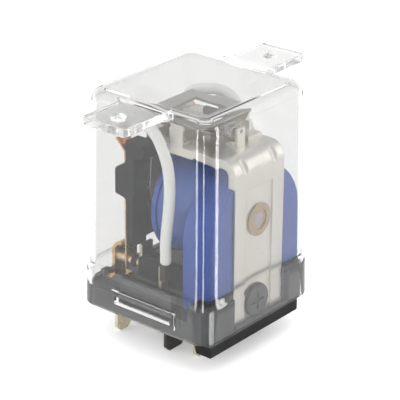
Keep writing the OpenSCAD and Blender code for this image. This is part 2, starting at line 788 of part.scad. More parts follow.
// Guard over the top leg: a web with a window, two cheeks with feet, and two fingers that
// keep the armature on its edge
guard_x0 = hinge_x - armature_t - 1;
guard_x1 = anchor_x0 - 0.7;
guard_t = 0.7;
guard_h = 5.4;
post_x0 = hinge_x + 4.9;
post_x1 = post_x0 + 3.7;
rivet_places = [[anchor_x0 + 1.3, mech_y], [post_x0 + 1.8, mech_y - 6.5],
    [guard_x1 - 0.5, mech_y + 5.6]];
module armature_guard() {
    z0 = yoke_top_z;
    z1 = z0 + guard_h;
    y0 = mech_y - yoke_w / 2;
    y1 = mech_y + yoke_w / 2;
    color(steel_c) lift() difference() {
        union() {
            span([guard_x0, y0, z1 - guard_t], [guard_x1, y1, z1]);
            span([post_x0, y0, z0], [post_x1, y0 + guard_t, z1]);
            span([post_x0, y0, z0], [post_x1, y0 + 3.2, z0 + anchor_t]);
            span([post_x0, y1 - guard_t, z0], [guard_x1, y1, z1]);
            span([guard_x1 - 3.9, y1 - 4.6, z0], [guard_x1 + 2.9, y1, z0 + anchor_t]);
            for (side = [-1, 1])
                span([guard_x0, mech_y + side * 6 - 1.4, z0 + 1.7],
                    [guard_x0 + anchor_t, mech_y + side * 6 + 1.4, z1]);
        }
        span([hinge_x + 1.2, mech_y - 4.2, z1 - 1], [guard_x1 - 2.9, mech_y + 4.4, z1 + 1]);
        for (side = [-1, 1]) span([guard_x0 - 1, side > 0 ? mech_y + 7.4 : y0 - 1, z1 - 1],
            [post_x0 - 1, side > 0 ? y1 + 1 : mech_y - 7.4, z1 + 1]);
        for (n = [1, 2]) translate([rivet_places[n][0], rivet_places[n][1], z0 - 1])
            cylinder(d = rivet_d, h = 3);
    }
}

// Rivets that hold the guard and the spring anchor to the frame
module frame_rivets() {
    color(steel_c) lift() for (q = rivet_places) translate([q[0], q[1], 0]) {
        translate([0, 0, yoke_under_z + 0.2]) cylinder(d = rivet_d - 0.1, h = yoke_t + anchor_t);
        translate([0, 0, yoke_top_z + anchor_t]) cylinder(d = 2.2, h = 0.4);
    }
}

// Helical tension spring above the top leg, from the anchor to the armature's tail
spring_wire = 0.5;
spring_od = 3;
spring_x0 = hinge_x + 0.7;
spring_x1 = anchor_x1 - 0.9;
module return_spring() {
    turns = 20;
    steps = 10;
    sides = 6;
    r = (spring_od - spring_wire) / 2;
    length = spring_x1 - spring_x0;
    n = turns * steps;
    points = [for (i = [0:n], j = [0:sides - 1]) let (
        a = 360 * i / steps,
        b = 360 * j / sides,
        rr = r + spring_wire / 2 * cos(b))
        [spring_x0 + length * i / n + spring_wire / 2 * sin(b), mech_y + rr * cos(a),
            spring_axis_z + rr * sin(a)]];
    faces = concat(
        [[for (j = [0:sides - 1]) j]],
        [for (i = [0:n - 1], j = [0:sides - 1]) let (k = (j + 1) % sides)
            [i * sides + j, (i + 1) * sides + j, (i + 1) * sides + k, i * sides + k]],
        [[for (j = [sides - 1:-1:0]) n * sides + j]]);
    color(steel_c) lift() polyhedron(points, faces);
}

// Armature in the pulled-in position, swung open about the frame's edge
module swung() {
    translate([hinge_x, 0, hinge_z]) rotate([0, swing, 0])
        translate([-hinge_x, 0, -hinge_z]) children();
}

// Steel plate, tapered below, with a tail for the return spring
module armature() {
    x1 = hinge_x;
    x0 = hinge_x - armature_t;
    half = armature_w / 2;
    low_half = half - 3.2;
    taper_z = 27;
    color(steel_c) lift() swung() difference() {
        union() {
            translate([x0, mech_y, 0]) rotate([90, 0, 90]) linear_extrude(armature_t)
                polygon([[-half, armature_top_z], [-half, taper_z], [-low_half, armature_low_z],
                    [low_half, armature_low_z], [half, taper_z], [half, armature_top_z]]);
            span([x0, mech_y - tail_w / 2, 38], [x1, mech_y + tail_w / 2, tail_z]);
        }
        bar_x(1.2, x0 - 1, x1 + 1, mech_y, tail_z - 1.2);
        for (z = carrier_rivet_z) bar_x(rivet_d, x0 - 1, x1 + 1, mech_y, z);
    }
}
carrier_rivet_z = [22, 33];
carrier_web_t = 1.3;

// Back face of the armature at height z, when it hangs open
function back_x(z) = hinge_x - armature_t / cos(swing) - (hinge_z - z) * tan(swing);

// Moulded carrier: two arms that hold the springs, joined across the armature's back
module carrier() {
    y0 = mech_y - pole_off - arm_w / 2;
    back = spring_x - spring_t;
    color(black_c) lift() difference() {
        union() {
            both_poles() {
                side_profile([for (q = [[0, carrier_low_z], [2.25, carrier_low_z], [2.55, 25.6],
                    [2.85, 27], [2.85, 35.2], [5.65, 35.7], [5.75, 38], [5.15, carrier_top_z],
                    [0, carrier_top_z]]) [spring_x + q[0], q[1]]], y0, y0 + arm_w);
                side_profile([[back - 2.2, 25.9], [spring_x, 25.4], [spring_x, 33.5],
                    [back - 1.6, 32.4], [back - 2.2, 31.6]], y0, y0 + arm_w);
            }
            side_profile([[back_x(14.5) - carrier_web_t, 14.5], [back_x(14.5), 14.5], [back_x(38), 38],
                [back_x(38) - carrier_web_t, 38]], y0 + arm_w - cut, 2 * mech_y - y0 - arm_w + cut);
        }
        both_poles() {
            span([back - slot_gap, mech_y - pole_off - spring_w / 2 - slot_gap, 10],
                [spring_x + cut / 10, mech_y - pole_off + spring_w / 2 + slot_gap, 45]);
            for (z = [[10, 25.2], [33.7, 40]]) span([back - 1, y0 - 1, z[0]],
                [spring_x + 1, mech_y - pole_off - spring_w / 2 + 0.1, z[1]]);
        }
        swung() for (z = carrier_rivet_z)
            bar_x(rivet_d, hinge_x - 8, hinge_x, mech_y, z);
    }
}

// Rivets through the armature and the carrier's web
module carrier_rivets() {
    x1 = hinge_x - armature_t;
    color(brass_c) lift() swung() for (z = carrier_rivet_z) {
        bar_x(rivet_d - 0.1, x1 - carrier_web_t - 0.2, hinge_x - 0.2, mech_y, z);
        bar_x(2.8, x1 - carrier_web_t - 0.6, x1 - carrier_web_t - 0.1, mech_y, z);
    }
}

// Front moving spring: flat blade with its upper tongue bent out
module moving_spring() {
    y0 = mech_y - pole_off - spring_w / 2;
    x0 = spring_x - spring_t;
    d = tongue_len * cos(45);
    e = spring_t * tan(22.5);
    color(copper_c) lift() difference() {
        side_profile([[x0, spring_low_z], [spring_x, spring_low_z], [spring_x, tongue_z + e / 2],
            [spring_x - d, tongue_z + e / 2 + d],
            [spring_x - d - spring_t * cos(45), tongue_z + e / 2 + d - spring_t * cos(45)],
            [x0, tongue_z - e / 2]], y0, y0 + spring_w);
        bar_x(1.6, x0 - 1, spring_x + 1, mech_y - pole_off, contact_z);
    }
}

// Double-sided silver contact in the end of the front moving spring
module moving_contact() {
    x0 = spring_x - spring_t;
    color(silver_c) lift() {
        bar_x(contact_d, x0 - closed_head, x0, mech_y - pole_off, contact_z);
        bar_x(1.5, x0 - cut, spring_x + cut, mech_y - pole_off, contact_z);
        bar_x(contact_d, spring_x, spring_x + open_head, mech_y - pole_off, contact_z);
    }
}

module moving_spring_front() { moving_spring(); }
module moving_spring_rear() { rear_pole() moving_spring(); }
module moving_contact_front() { moving_contact(); }
module moving_contact_rear() { rear_pole() moving_contact(); }

// Direction of a route at point i
function route_dir(p, i) = let (
    a = p[max(i - 1, 0)],
    b = p[min(i + 1, len(p) - 1)])
    (b - a) / norm(b - a);

// Round cord swept along a route
module cord(route, d) {
    sides = 8;
    n = len(route);
    points = [for (i = [0:n - 1]) let (
        t = route_dir(route, i),
        s = cross(t, [0, 1, 0]) / norm(cross(t, [0, 1, 0])),
        u = cross(s, t))
        for (j = [0:sides - 1]) route[i] + d / 2 * (cos(360 * j / sides) * s
            + sin(360 * j / sides) * u)];
    faces = concat(
        [[for (j = [sides - 1:-1:0]) j]],
        [for (i = [0:n - 2], j = [0:sides - 1]) let (k = (j + 1) % sides)
            [i * sides + j, i * sides + k, (i + 1) * sides + k, (i + 1) * sides + j]],
        [[for (j = [0:sides - 1]) (n - 1) * sides + j]]);
    polyhedron(points, faces);
}

module lead_front() { color(white_c) lift() cord(front_route, lead_d); }
module lead_rear() { color(white_c) lift() cord(rear_route, lead_d); }

// Bare end of a lead, welded flat on a spring's tongue
module upper_braid() {
    color(copper_c) lift()
        translate([spring_x, mech_y - pole_off - 1, tongue_z + spring_t * tan(22.5) / 2])
            rotate([0, -135, 0]) translate([1.5, 0, -1]) cube([tongue_len - 1.6, 2, 1]);
}

// Bare end of a lead, welded on a common tab's riser
module lower_braid(n, out) {
    x0 = common_x + tab_t / 2;
    y = mech_y - riser_y[n] + lead_in[n];
    color(copper_c) lift() span([x0, y - 1, 10.6], [x0 + out, y + 1, lead_low_z]);
}

module upper_braid_front() { upper_braid(); }
module upper_braid_rear() { rear_pole() upper_braid(); }
module lower_braid_front() { lower_braid(0, 1.7); }
module lower_braid_rear() { rear_pole() lower_braid(1, 2.1); }

cover();
base();
yoke();
frame_screw();
core();
bobbin();
copper_winding();
coil_tape();
coil_tab_front();
coil_tab_rear();
closed_tab_front();
closed_tab_rear();
open_tab_front();
open_tab_rear();
common_tab_front();
common_tab_rear();
closed_contact_front();
closed_contact_rear();
open_contact_front();
open_contact_rear();
spring_anchor();
armature_guard();
frame_rivets();
return_spring();
armature();
carrier();
carrier_rivets();
moving_spring_front();
moving_spring_rear();
moving_contact_front();
moving_contact_rear();
lead_front();
lead_rear();
upper_braid_front();
upper_braid_rear();
lower_braid_front();
lower_braid_rear();
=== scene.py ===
"""Looks of a plug-on relay: clear cover, leads, return spring, finishes and the stage."""

import math

import bpy
import numpy as np
from bpy.props import FloatProperty, FloatVectorProperty, IntProperty, PointerProperty
from mathutils import Matrix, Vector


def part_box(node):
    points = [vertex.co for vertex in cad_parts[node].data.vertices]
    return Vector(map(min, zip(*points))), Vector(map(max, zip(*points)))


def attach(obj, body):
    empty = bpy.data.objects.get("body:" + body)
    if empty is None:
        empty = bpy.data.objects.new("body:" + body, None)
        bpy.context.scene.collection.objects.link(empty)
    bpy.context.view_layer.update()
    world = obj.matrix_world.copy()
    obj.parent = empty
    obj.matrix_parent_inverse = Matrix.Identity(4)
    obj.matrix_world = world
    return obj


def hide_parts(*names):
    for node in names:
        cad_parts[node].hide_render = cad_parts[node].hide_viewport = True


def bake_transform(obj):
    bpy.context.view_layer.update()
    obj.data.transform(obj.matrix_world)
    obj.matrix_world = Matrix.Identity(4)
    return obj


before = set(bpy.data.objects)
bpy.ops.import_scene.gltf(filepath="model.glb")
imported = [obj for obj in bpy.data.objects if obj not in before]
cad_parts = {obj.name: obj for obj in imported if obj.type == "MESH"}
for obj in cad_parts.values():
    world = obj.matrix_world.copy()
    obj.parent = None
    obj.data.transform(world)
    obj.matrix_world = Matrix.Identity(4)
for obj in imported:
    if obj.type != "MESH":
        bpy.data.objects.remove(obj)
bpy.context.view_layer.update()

bl_info = {
    "name": "Clear-cover relay",
    "version": (1, 0, 0),
    "blender": (4, 5, 0),
    "location": "View3D > Sidebar > Relay",
    "description": "Builds the looks of a plug-on relay with a clear cover round its solid parts",
    "category": "Object",
}

MM = 0.001
# The base's underside stands this far above the tips of the tabs
BASE_Z = 0.008

FLOOR_RADIUS = 1.6
FLOOR_THICKNESS = 0.004
# Soft lamps: name, azimuth in degrees, height, distance from the upright axis, width and
# height of the lamp, and power in watts. All are aimed at one point inside the relay.
LAMPS = (("left_panel", -125, 0.16, 0.40, (0.10, 0.50), 0.45),
         ("front_strip", -68, 0.30, 0.50, (0.05, 0.40), 0.35),
         ("right_panel", 50, 0.20, 0.45, (0.25, 0.40), 0.5),
         ("top_panel", -20, 0.60, 0.12, (0.45, 0.45), 0.5))
LIT_POINT = (0, 0, 0.03)
SENSOR_WIDTH = 36

# Cards round the cover's front corner, which only mirrorings show: name, azimuths in degrees,
# distances from the centre of the corner's rounding, heights, and share of the cards' glow
CARD_CENTRE = (0.0140, -0.0145)
TALL = ((0.0300, 0.0304), (0.001, 0.070))
LOW = ((0.0125, 0.0127), (0.0005, 0.0132))
CARDS = (("dark_card", (-86.5, 19.5), *TALL, 0.006),
         ("right_card", (19.5, 42), *TALL, 0.7),
         ("left_card", (-98.5, -86.5), *TALL, 0.7),
         ("hair_card", (-55, -50), (0.0292, 0.0296), (0.001, 0.050), 0.9),
         ("skirt_left_card", (-104, -59), *LOW, 0.04),
         ("skirt_dark_card", (-59, -25.5), *LOW, 0.01),
         ("skirt_light_card", (-25.5, -2), *LOW, 0.7),
         ("skirt_right_card", (-2, 50), *LOW, 0.04))
# Fins before the light cards, as the grid of a studio lamp has, so that the corner mirrors the
# cards and the flat walls hardly do: the number of cells, and the fins' depth
GRIDS = {"right_card": (20, 0.0018), "left_card": (20, 0.0010), "hair_card": (4, 0.0021),
         "skirt_light_card": (10, 0.0014)}
# Half the azimuth that a fin fills, in degrees, and the light it gives
FIN_HALF = 0.04
FIN_GLOW = 0.04
CARD_POINTS = 12

# The noise textures keep mostly between these values
NOISE_SPAN = (0.3, 0.7)
# Index of refraction of the clear plastic, and what it comes to in a section that the view
# crosses aslant
PLASTIC_INDEX = 1.45
CALM_INDEX = 1.70
# Greatest roughness of the clear plastic, and what light keeps that goes straight through it
POLISH = 0.035
OPEN_TINT = (0.97, 0.975, 0.975)
# Rays that have been mirrored more often than this go straight through as well
MIRRORINGS = 3.5
# The ears begin and are complete at these distances from the middle and at these heights. They
# have this share of the plastic's tint, and this much more roughness.
EARS_OUT = (0.0180, 0.0190)
EARS_UP = (0.0555, 0.0560)
EAR_TINT = 0.87
EAR_DULL = 0.10
# Grain and relief of the black mouldings
MOULDED = {"grain": 400, "relief": 0.006, "relief_scale": 5000}

# Routes of the two flexible leads in metres, from the moving springs' tongues to the risers
FRONT_ROUTE = np.array([
    [-12.5, -9.95, 39.35], [-12.9, -9.95, 40.2], [-12.6, -9.95, 41.3], [-11.6, -10, 42.2],
    [-10, -10.1, 42.8], [-7.8, -10.4, 43.3], [-5, -11.1, 43.7], [-2.4, -12.2, 43.6],
    [0.4, -13.4, 42.7], [2.7, -14.3, 40.8], [4.2, -14.7, 38.4], [4.9, -14.8, 35.6],
    [5.1, -14.8, 32.6], [5, -14.8, 29.4], [4.7, -14.8, 26], [4.3, -14.8, 22.6],
    [4, -14.8, 19.6], [4, -14.8, 17], [4, -14.8, 14.6]]) * MM
REAR_ROUTE = np.array([
    [-12.5, 11.95, 39.35], [-12.9, 11.95, 40.2], [-12.5, 12.1, 41.4], [-11.3, 12.5, 42.4],
    [-9.6, 13.1, 42.9], [-7.6, 13.9, 43.2], [-5.6, 14.7, 43.2], [-3.4, 15.2, 42.5],
    [-1.4, 15.3, 41], [0.4, 15.3, 38.8], [1.8, 15.3, 36.2], [2.8, 15.3, 33.4],
    [3.4, 15.3, 30.4], [3.8, 15.3, 27], [4.1, 15.3, 23.6], [4.3, 15.3, 20.4],
    [4.4, 15.3, 17.4], [4.4, 15.3, 14.6]]) * MM
LEAD_SAMPLES = 150
# Share of a lead's length that its rounded end takes, and how much of the section goes there
LEAD_END = 0.012
END_LOSS = 0.45

# Hooks of the return spring, from the middle of the low and of the high end of its box, and
# the room that each takes from its turns
HEAD_HOOK = np.array([[0.3, 0, -0.3], [0.2, 0, 0.6], [0.7, 0.6, 1.0]]) * MM
TAIL_HOOK = np.array([[-0.6, 0.8, 0.9], [-0.3, 0, 0.8], [-0.3, 0, 0]]) * MM
HOOK_ROOM = (0.0012, 0.0010)
# Points of one turn, and samples of the wire's path through them
TURN_POINTS = 12
TURN_SAMPLES = 22
WIRE_SIDES = 10

# Points of the skirt's step, and how much more finely its inner face is worked out
STEP_POINTS = 17
STEP_FINE = 20
# Points of the rounding round the cover's top, of the fillets at the ears' roots, and of every
# small rounded edge
DOME_POINTS = 12
FILLET_POINTS = 10
EDGE_POINTS = 5
# Levels on the cover's walls, with those where the step ends and the dome begins
WALL_LEVELS = 8
# Least radii of a slab's corners, of the cover's corners and of the dome
LEAST_RADIUS = 0.00005
LEAST_CORNER = 0.0001
LEAST_DOME = 0.0005
# Edges of the cover with a larger angle than this, in degrees, are shaded sharp
COVER_SHARP = 38
# What is joined to the cover or cut from it reaches past its faces by these lengths: the
# holes' cutters below and above the top, the windows' cutters in and out of the skirt's face,
# the hollow below the foot, the latch frames into the skirt, and the fillets at the ears'
# roots into the ear and the wall
HOLE_REACH = (0.004, 0.002)
WINDOW_REACH = (0.0025, 0.0015)
HOLLOW_REACH = 0.001
FRAME_REACH = 0.0005
FILLET_REACH = 0.0004
# The fillets begin this far inside the wall, and the ears end this far below the cover's top
FILLET_SHIFT = 0.0003
EAR_DROP = 0.00001
# The latch tongues are wider than the windows by this on each side. They stand between these
# depths behind the wall, and have this share of the base's tint: painted shade, which makes the
# windows' recesses dark.
TONGUE_MARGIN = 0.0003
TONGUE_DEPTHS = (0.0004, 0.0001)
TONGUE_SHADE = 0.12

# Painted reflection: the base is painted grey about this height above its underside, for the
# haze that the skirt mirrors. The grey begins to fade and has gone at these distances from there.
PAINTED_HAZE_HEIGHT = 0.0039
PAINTED_HAZE_ENDS = (0.0040, 0.0046)
# Half the height over which the tabs' finish changes at the base's underside
TAB_CHANGE = 0.0005
# Painted shade: the guard is painted darker between these depths below its top, to this share
# of its tint
GUARD_SHADE_DEPTHS = (0.0012, 0.0004)
GUARD_SHADE = 0.55
# Radii between which the core's end changes to its ring
CORE_RING = (0.0013, 0.0016)


def length(label, words, value, low=0.0):
    """A length property in metres."""
    return FloatProperty(name=label, description=words, default=value, min=low, unit="LENGTH",
                         precision=5)


def tint(label, words, value):
    """A colour property, in linear light."""
    return FloatVectorProperty(name=label, description=words, default=value, size=3, min=0,
                               max=1, subtype="COLOR")


def angle(label, words, degrees):
    """An angle property, given in degrees."""
    return FloatProperty(name=label, description=words, default=math.radians(degrees),
                         subtype="ANGLE", unit="ROTATION")


class RelayView(bpy.types.PropertyGroup):
    """Where the camera stands and how the stage is lit"""
    azimuth: angle("Azimuth", "Turn of the camera round the relay, from the front wall", 39.462)
    elevation: angle("Elevation", "Height of the camera above the horizon", 23.996)
    roll: angle("Roll", "Lean of the picture, clockwise", 0.442)
    distance: length("Distance", "From the camera to the point it looks at", 0.41733)
    target_x: length("Target X", "X of the point that the camera looks at", 0.000884, -1)
    target_z: length("Target Z", "Height of that point above the base's underside", 0.02368)
    lens: FloatProperty(name="Lens", description="Focal length in millimetres on a 36 mm wide "
                        "sensor", default=169.76, min=10, unit="CAMERA")
    floor_tint: tint("Floor", "Colour of the pale floor", (0.93, 0.93, 0.93))
    floor_glow: FloatProperty(name="Floor glow", description="Light that the floor gives, as a "
                              "light table does", default=0.3, min=0)
    card_glow: FloatProperty(name="Card glow", description="Brightness of the light cards that "
                             "only mirrorings show", default=24, min=0)
    surround: FloatProperty(name="Surround", description="Brightness of the soft white room",
                            default=1.0, min=0)


class RelayCover(bpy.types.PropertyGroup):
    """Sizes and colour of the clear cover"""
    width: length("Width", "Size along X at the foot", 0.036)
    depth: length("Depth", "Size along Y at the foot", 0.037)
    height: length("Height", "Top above the base's underside", 0.051)
    wall: length("Wall", "Thickness of the walls", 0.0011)
    draft: length("Draft", "Lean of each wall from foot to top", 0.0008)
    corner: length("Corner radius", "Radius of the upright corners", 0.0040)
    inner_corner: length("Inner corner radius", "Radius of those corners inside", 0.0029)
    top_round: length("Top rounding", "Radius of the rounding round the top", 0.003)
    skirt_height: length("Skirt height", "Height at which the skirt's step ends", 0.010)
    skirt_step: length("Skirt step height", "Height over which the skirt draws in", 0.0020)
    skirt_out: length("Skirt step", "How far the skirt stands out", 0.0007)
    calm_angle: angle("Calm angle", "Downward angle of view through the step that it bends "
                      "least", 32)
    edge: length("Edge rounding", "Radius of the moulded edges", 0.0003)
    ear_width: length("Ear width", "Width of each ear", 0.012)
    ear_span: length("Ear span", "From tip to tip of the ears", 0.061)
    ear_thickness: length("Ear thickness", "Thickness of the ears", 0.002)
    ear_corner: length("Ear corner", "Radius of the corners at the ears' tips", 0.001)
    ear_fillet: length("Ear fillet", "Radius of the fillets at the ears' roots", 0.0016)
    hole: length("Ear hole", "Diameter of the ears' holes", 0.0036)
    pitch: length("Hole pitch", "Distance between the ears' holes", 0.0508)
    latch_width: length("Latch width", "Width of the latch windows", 0.016)
    latch_height: length("Latch height", "Height of the latch windows", 0.0019)
    latch_z: length("Latch place", "Lower edge of the latch windows", 0.0029)
    latch_x: length("Latch X", "Middle of the latch windows", 0.0008, -1)
    latch_frame: length("Latch frame", "Width of the raised frame round them", 0.0012)
    latch_out: length("Latch frame height", "How far that frame stands out", 0.0005)
    clear: tint("Clear plastic", "Colour that the clear plastic lets through",
                (0.765, 0.765, 0.76))


class RelayLeads(bpy.types.PropertyGroup):
    """The white leads and the return spring"""
    diameter: length("Lead diameter", "Outside diameter of the sleeve", 0.0025)
    sides: IntProperty(name="Sides", description="Points round each lead", default=28, min=8)
    sleeve: tint("Sleeve", "Colour of the soft sleeve", (0.66, 0.66, 0.64))
    wire: length("Spring wire", "Diameter of the return spring's wire", 0.0005)
    coil: length("Spring diameter", "Outside diameter of the return spring", 0.003)
    turns: IntProperty(name="Turns", description="Turns of the return spring", default=22,
                       min=4)


class RelayFinishes(bpy.types.PropertyGroup):
    """Colours of the finishes"""
    black: tint("Black plastic", "Base and carrier", (0.012, 0.012, 0.013))
    # Painted reflection: the grey of the base behind the skirt stands in for the skirt's haze.
    painted_haze_base: tint("Base sides", "Base behind the skirt, greyed by its haze",
                     (0.085, 0.085, 0.088))
    blue: tint("Blue plastic", "Bobbin", (0.016, 0.060, 0.29))
    tape: tint("Blue tape", "Tape round the coil", (0.020, 0.075, 0.30))
    nickel: tint("Nickelled steel", "Frame and armature", (0.78, 0.755, 0.70))
    core_rim: tint("Core rim", "Ring round the core's end", (0.50, 0.40, 0.28))
    core_middle: tint("Core", "Middle of the core's end", (0.50, 0.45, 0.50))
    dark_steel: tint("Dark steel", "Frame screw", (0.14, 0.14, 0.15))
    spring_steel: tint("Spring steel", "Return spring", (0.55, 0.54, 0.52))
    copper: tint("Copper", "Winding and braids", (0.72, 0.36, 0.19))
    bronze: tint("Bronze", "Moving springs", (0.66, 0.47, 0.28))
    brass: tint("Tinned brass", "Tabs", (0.62, 0.57, 0.42))
    gold: tint("Bare brass", "Strips of the closed contacts", (0.74, 0.50, 0.20))
    silver: tint("Silver", "Contacts", (0.58, 0.46, 0.32))
    # Painted reflection: the common blades below the base are painted dark, for the black base
    # that they mirror.
    painted_blade_reflection: tint("Tarnished brass", "Blades of the common tabs", (0.07, 0.067, 0.06))
    # The braids at the leads' lower ends are much darker than the upper braids.
    lower_braid_tint: tint("Darkened braid", "Braids at the leads' lower ends", (0.035, 0.028, 0.022))


# Meshes


def make_mesh(name, points, faces, smooth_angle=35):
    """An object from arrays of points and faces, shaded smooth up to an angle in degrees."""
    mesh = bpy.data.meshes.new(name)
    mesh.from_pydata(np.asarray(points, float).tolist(), [], [list(map(int, f)) for f in faces])
    mesh.validate()
    mesh.update()
    piece = bpy.data.objects.new(name, mesh)
    bpy.context.scene.collection.objects.link(piece)
    if smooth_angle:
        mesh.shade_smooth()
        mesh.set_sharp_from_angle(angle=math.radians(smooth_angle))
    return piece


def strip_faces(rows, columns):
    """Quads between consecutive closed rings of a grid with rows rings of columns points."""
    i = np.arange(rows - 1)[:, None] * columns
    j = np.arange(columns)[None, :]
    k = (j + 1) % columns
    return np.stack([i + j, i + k, i + columns + k, i + columns + j], axis=-1).reshape(-1, 4)


def closed_loft(name, rings, smooth_angle=35):
    """A closed skin over a stack of rings, an array of rings by points by 3. Both ends close
    with one flat face. Going up the stack, each ring runs anticlockwise seen from above."""
    rows, columns = rings.shape[:2]
    faces = [list(f) for f in strip_faces(rows, columns)]
    faces.append(list(range(columns - 1, -1, -1)))
    faces.append([(rows - 1) * columns + j for j in range(columns)])
    return make_mesh(name, rings.reshape(-1, 3), faces, smooth_angle)


def rounded_ring(half_x, half_y, radius, z, centre=(0, 0), steps=12):
    """A rounded rectangle: four quarter circles of one radius, whose centres lie that radius
    inside the sides."""
    turn = np.linspace(0, math.pi / 2, steps)
    quarters = (np.arange(4) * math.pi / 2)[:, None] + turn[None, :]
    signs = np.array([[1, 1], [-1, 1], [-1, -1], [1, -1]])
    x = signs[:, :1] * (half_x - radius) + radius * np.cos(quarters) + centre[0]
    y = signs[:, 1:] * (half_y - radius) + radius * np.sin(quarters) + centre[1]
    return np.stack([x.ravel(), y.ravel(), np.full(x.size, z)], axis=1)


def rounded_slab(name, half_x, half_y, radius, low, high, edge, centre=(0, 0)):
    """A plate whose rounded outline is drawn in by edge (1 - cos a) at a depth of
    edge (1 - sin a) from each of its two faces."""
    a = np.linspace(0, math.pi / 2, EDGE_POINTS)
    inset = np.concatenate([edge * (1 - np.sin(a)), edge * (1 - np.cos(a))])
    z = np.concatenate([low + edge * (1 - np.cos(a)), high - edge * (1 - np.sin(a))])
    rings = [rounded_ring(half_x - d, half_y - d, max(radius - d, LEAST_RADIUS), h, centre)
             for d, h in zip(inset, z)]
    return closed_loft(name, np.array(rings))


def upright_cylinder(name, radius, low, high, centre, steps=64):
    """A round slab: radius (cos t, sin t) about the centre, from low to high."""
    t = np.arange(steps) / steps * 2 * math.pi
    ring = np.stack([centre[0] + radius * np.cos(t), centre[1] + radius * np.sin(t)], axis=1)
    rings = np.array([np.column_stack([ring, np.full(steps, z)]) for z in (low, high)])
    return closed_loft(name, rings)


def through_points(points, samples):
    """A smooth curve through the points: a cubic whose slope at each point is half the step
    between its neighbours, sampled evenly along its length."""
    p = np.vstack([2 * points[0] - points[1], points, 2 * points[-1] - points[-2]])
    t = np.linspace(0, len(points) - 1, 40 * len(points))
    i = np.minimum(t.astype(int), len(points) - 2)
    f = (t - i)[:, None]
    a, b, c, d = p[i], p[i + 1], p[i + 2], p[i + 3]
    curve = 0.5 * (2 * b + (c - a) * f + (2 * a - 5 * b + 4 * c - d) * f ** 2
                   + (3 * b - a - 3 * c + d) * f ** 3)
    run = np.concatenate([[0], np.cumsum(np.linalg.norm(np.diff(curve, axis=0), axis=1))])
    even = np.linspace(0, run[-1], samples)
    return np.stack([np.interp(even, run, curve[:, k]) for k in range(3)], axis=1)


def carried_frames(path):
    """Two directions square to the path at each of its points, turned along it as little as
    possible. The first side is square to a direction that no path starts along."""
    tangent = np.gradient(path, axis=0)
    tangent /= np.linalg.norm(tangent, axis=1)[:, None]
    side = np.cross(tangent[0], [0, 1, 0.3])
    side /= np.linalg.norm(side)
    sides = [side]
    for t in tangent[1:]:
        side = side - t * side.dot(t)
        side /= np.linalg.norm(side)
        sides.append(side)
    sides = np.array(sides)
    return sides, np.cross(tangent, sides)


def tube(name, path, radii, around, smooth_angle=60):
    """A round section carried along a path: centre + radius (cos a side + sin a up). The radii
    may change along the path, and both ends are closed."""
    side, up = carried_frames(path)
    a = np.arange(around) / around * 2 * math.pi
    ring = np.cos(a)[None, :, None] * side[:, None] + np.sin(a)[None, :, None] * up[:, None]
    rings = path[:, None] + np.asarray(radii, float)[:, None, None] * ring
    return closed_loft(name, rings, smooth_angle)


def combine(piece, other, how):
    """Joins other to piece or cuts it away, and removes other."""
    cut = piece.modifiers.new(how, "BOOLEAN")
    cut.operation = how
    cut.solver = "EXACT"
    cut.object = other
    bake_modifiers(piece)
    mesh = other.data
    bpy.data.objects.remove(other)
    bpy.data.meshes.remove(mesh)


def bake_modifiers(piece):
    """Makes what the modifiers show the piece's own mesh."""
    graph = bpy.context.evaluated_depsgraph_get()
    shown = bpy.data.meshes.new_from_object(piece.evaluated_get(graph))
    old = piece.data
    piece.modifiers.clear()
    piece.data = shown
    shown.name = old.name
    bpy.data.meshes.remove(old)


# Finishes


def new_material(name):
    """An empty material with its Principled shader: the material, its tree and the shader."""
    material = bpy.data.materials.new(name)
    material.use_nodes = True
    tree = material.node_tree
    return material, tree, tree.nodes["Principled BSDF"]


def placed(tree, stretch=(1, 1, 1), shift=(0, 0, 0)):
    """Object coordinates, stretched by three factors and then shifted."""
    place = tree.nodes.new("ShaderNodeTexCoord")
    turn = tree.nodes.new("ShaderNodeMapping")
    turn.inputs["Scale"].default_value = stretch
    turn.inputs["Location"].default_value = shift
    tree.links.new(place.outputs["Object"], turn.inputs["Vector"])
    return turn.outputs["Vector"]


def noise(tree, scale, detail=3, stretch=(1, 1, 1)):
    """A noise on object coordinates, stretched by three factors."""
    pattern = tree.nodes.new("ShaderNodeTexNoise")
    pattern.inputs["Scale"].default_value = scale
    pattern.inputs["Detail"].default_value = detail
    tree.links.new(placed(tree, stretch), pattern.inputs["Vector"])
    return pattern.outputs["Fac"]


def ramp(tree, source, start, end, low=0.0, high=1.0):
    """The source's span from start to end, laid over low to high."""
    node = tree.nodes.new("ShaderNodeMapRange")
    for key, value in (("From Min", start), ("From Max", end), ("To Min", low),
                       ("To Max", high)):
        node.inputs[key].default_value = value
    tree.links.new(source, node.inputs["Value"])
    return node.outputs["Result"]


def zone(tree, centre, stretch, start, end):
    """A factor from 0 to 1 as the distance from a centre grows from start to end, where each
    axis counts by its stretch: one axis gives a band, two a ring."""
    reach = tree.nodes.new("ShaderNodeVectorMath")
    reach.operation = "LENGTH"
    tree.links.new(placed(tree, stretch, -np.array(centre) * stretch), reach.inputs[0])
    return ramp(tree, reach.outputs["Value"], start, end)


def feed(tree, slot, value):
    """Links a node's output to a slot, or sets the slot to a constant."""
    if isinstance(value, bpy.types.NodeSocket):
        tree.links.new(value, slot)
    else:
        slot.default_value = value


def between(tree, factor, first, second):
    """A colour between two by a factor. Each is a tint or the output of a node."""
    node = tree.nodes.new("ShaderNodeMix")
    node.data_type = "RGBA"
    for key, colour in (("A", first), ("B", second)):
        ready = colour if isinstance(colour, bpy.types.NodeSocket) else (*colour, 1)
        feed(tree, node.inputs[key], ready)
    tree.links.new(factor, node.inputs["Factor"])
    return node.outputs["Result"]


def maths(tree, operation, *terms):
    """A math node's output, from numbers and outputs of nodes."""
    node = tree.nodes.new("ShaderNodeMath")
    node.operation = operation
    for slot, term in zip(node.inputs, terms):
        feed(tree, slot, term)
    return node.outputs["Value"]


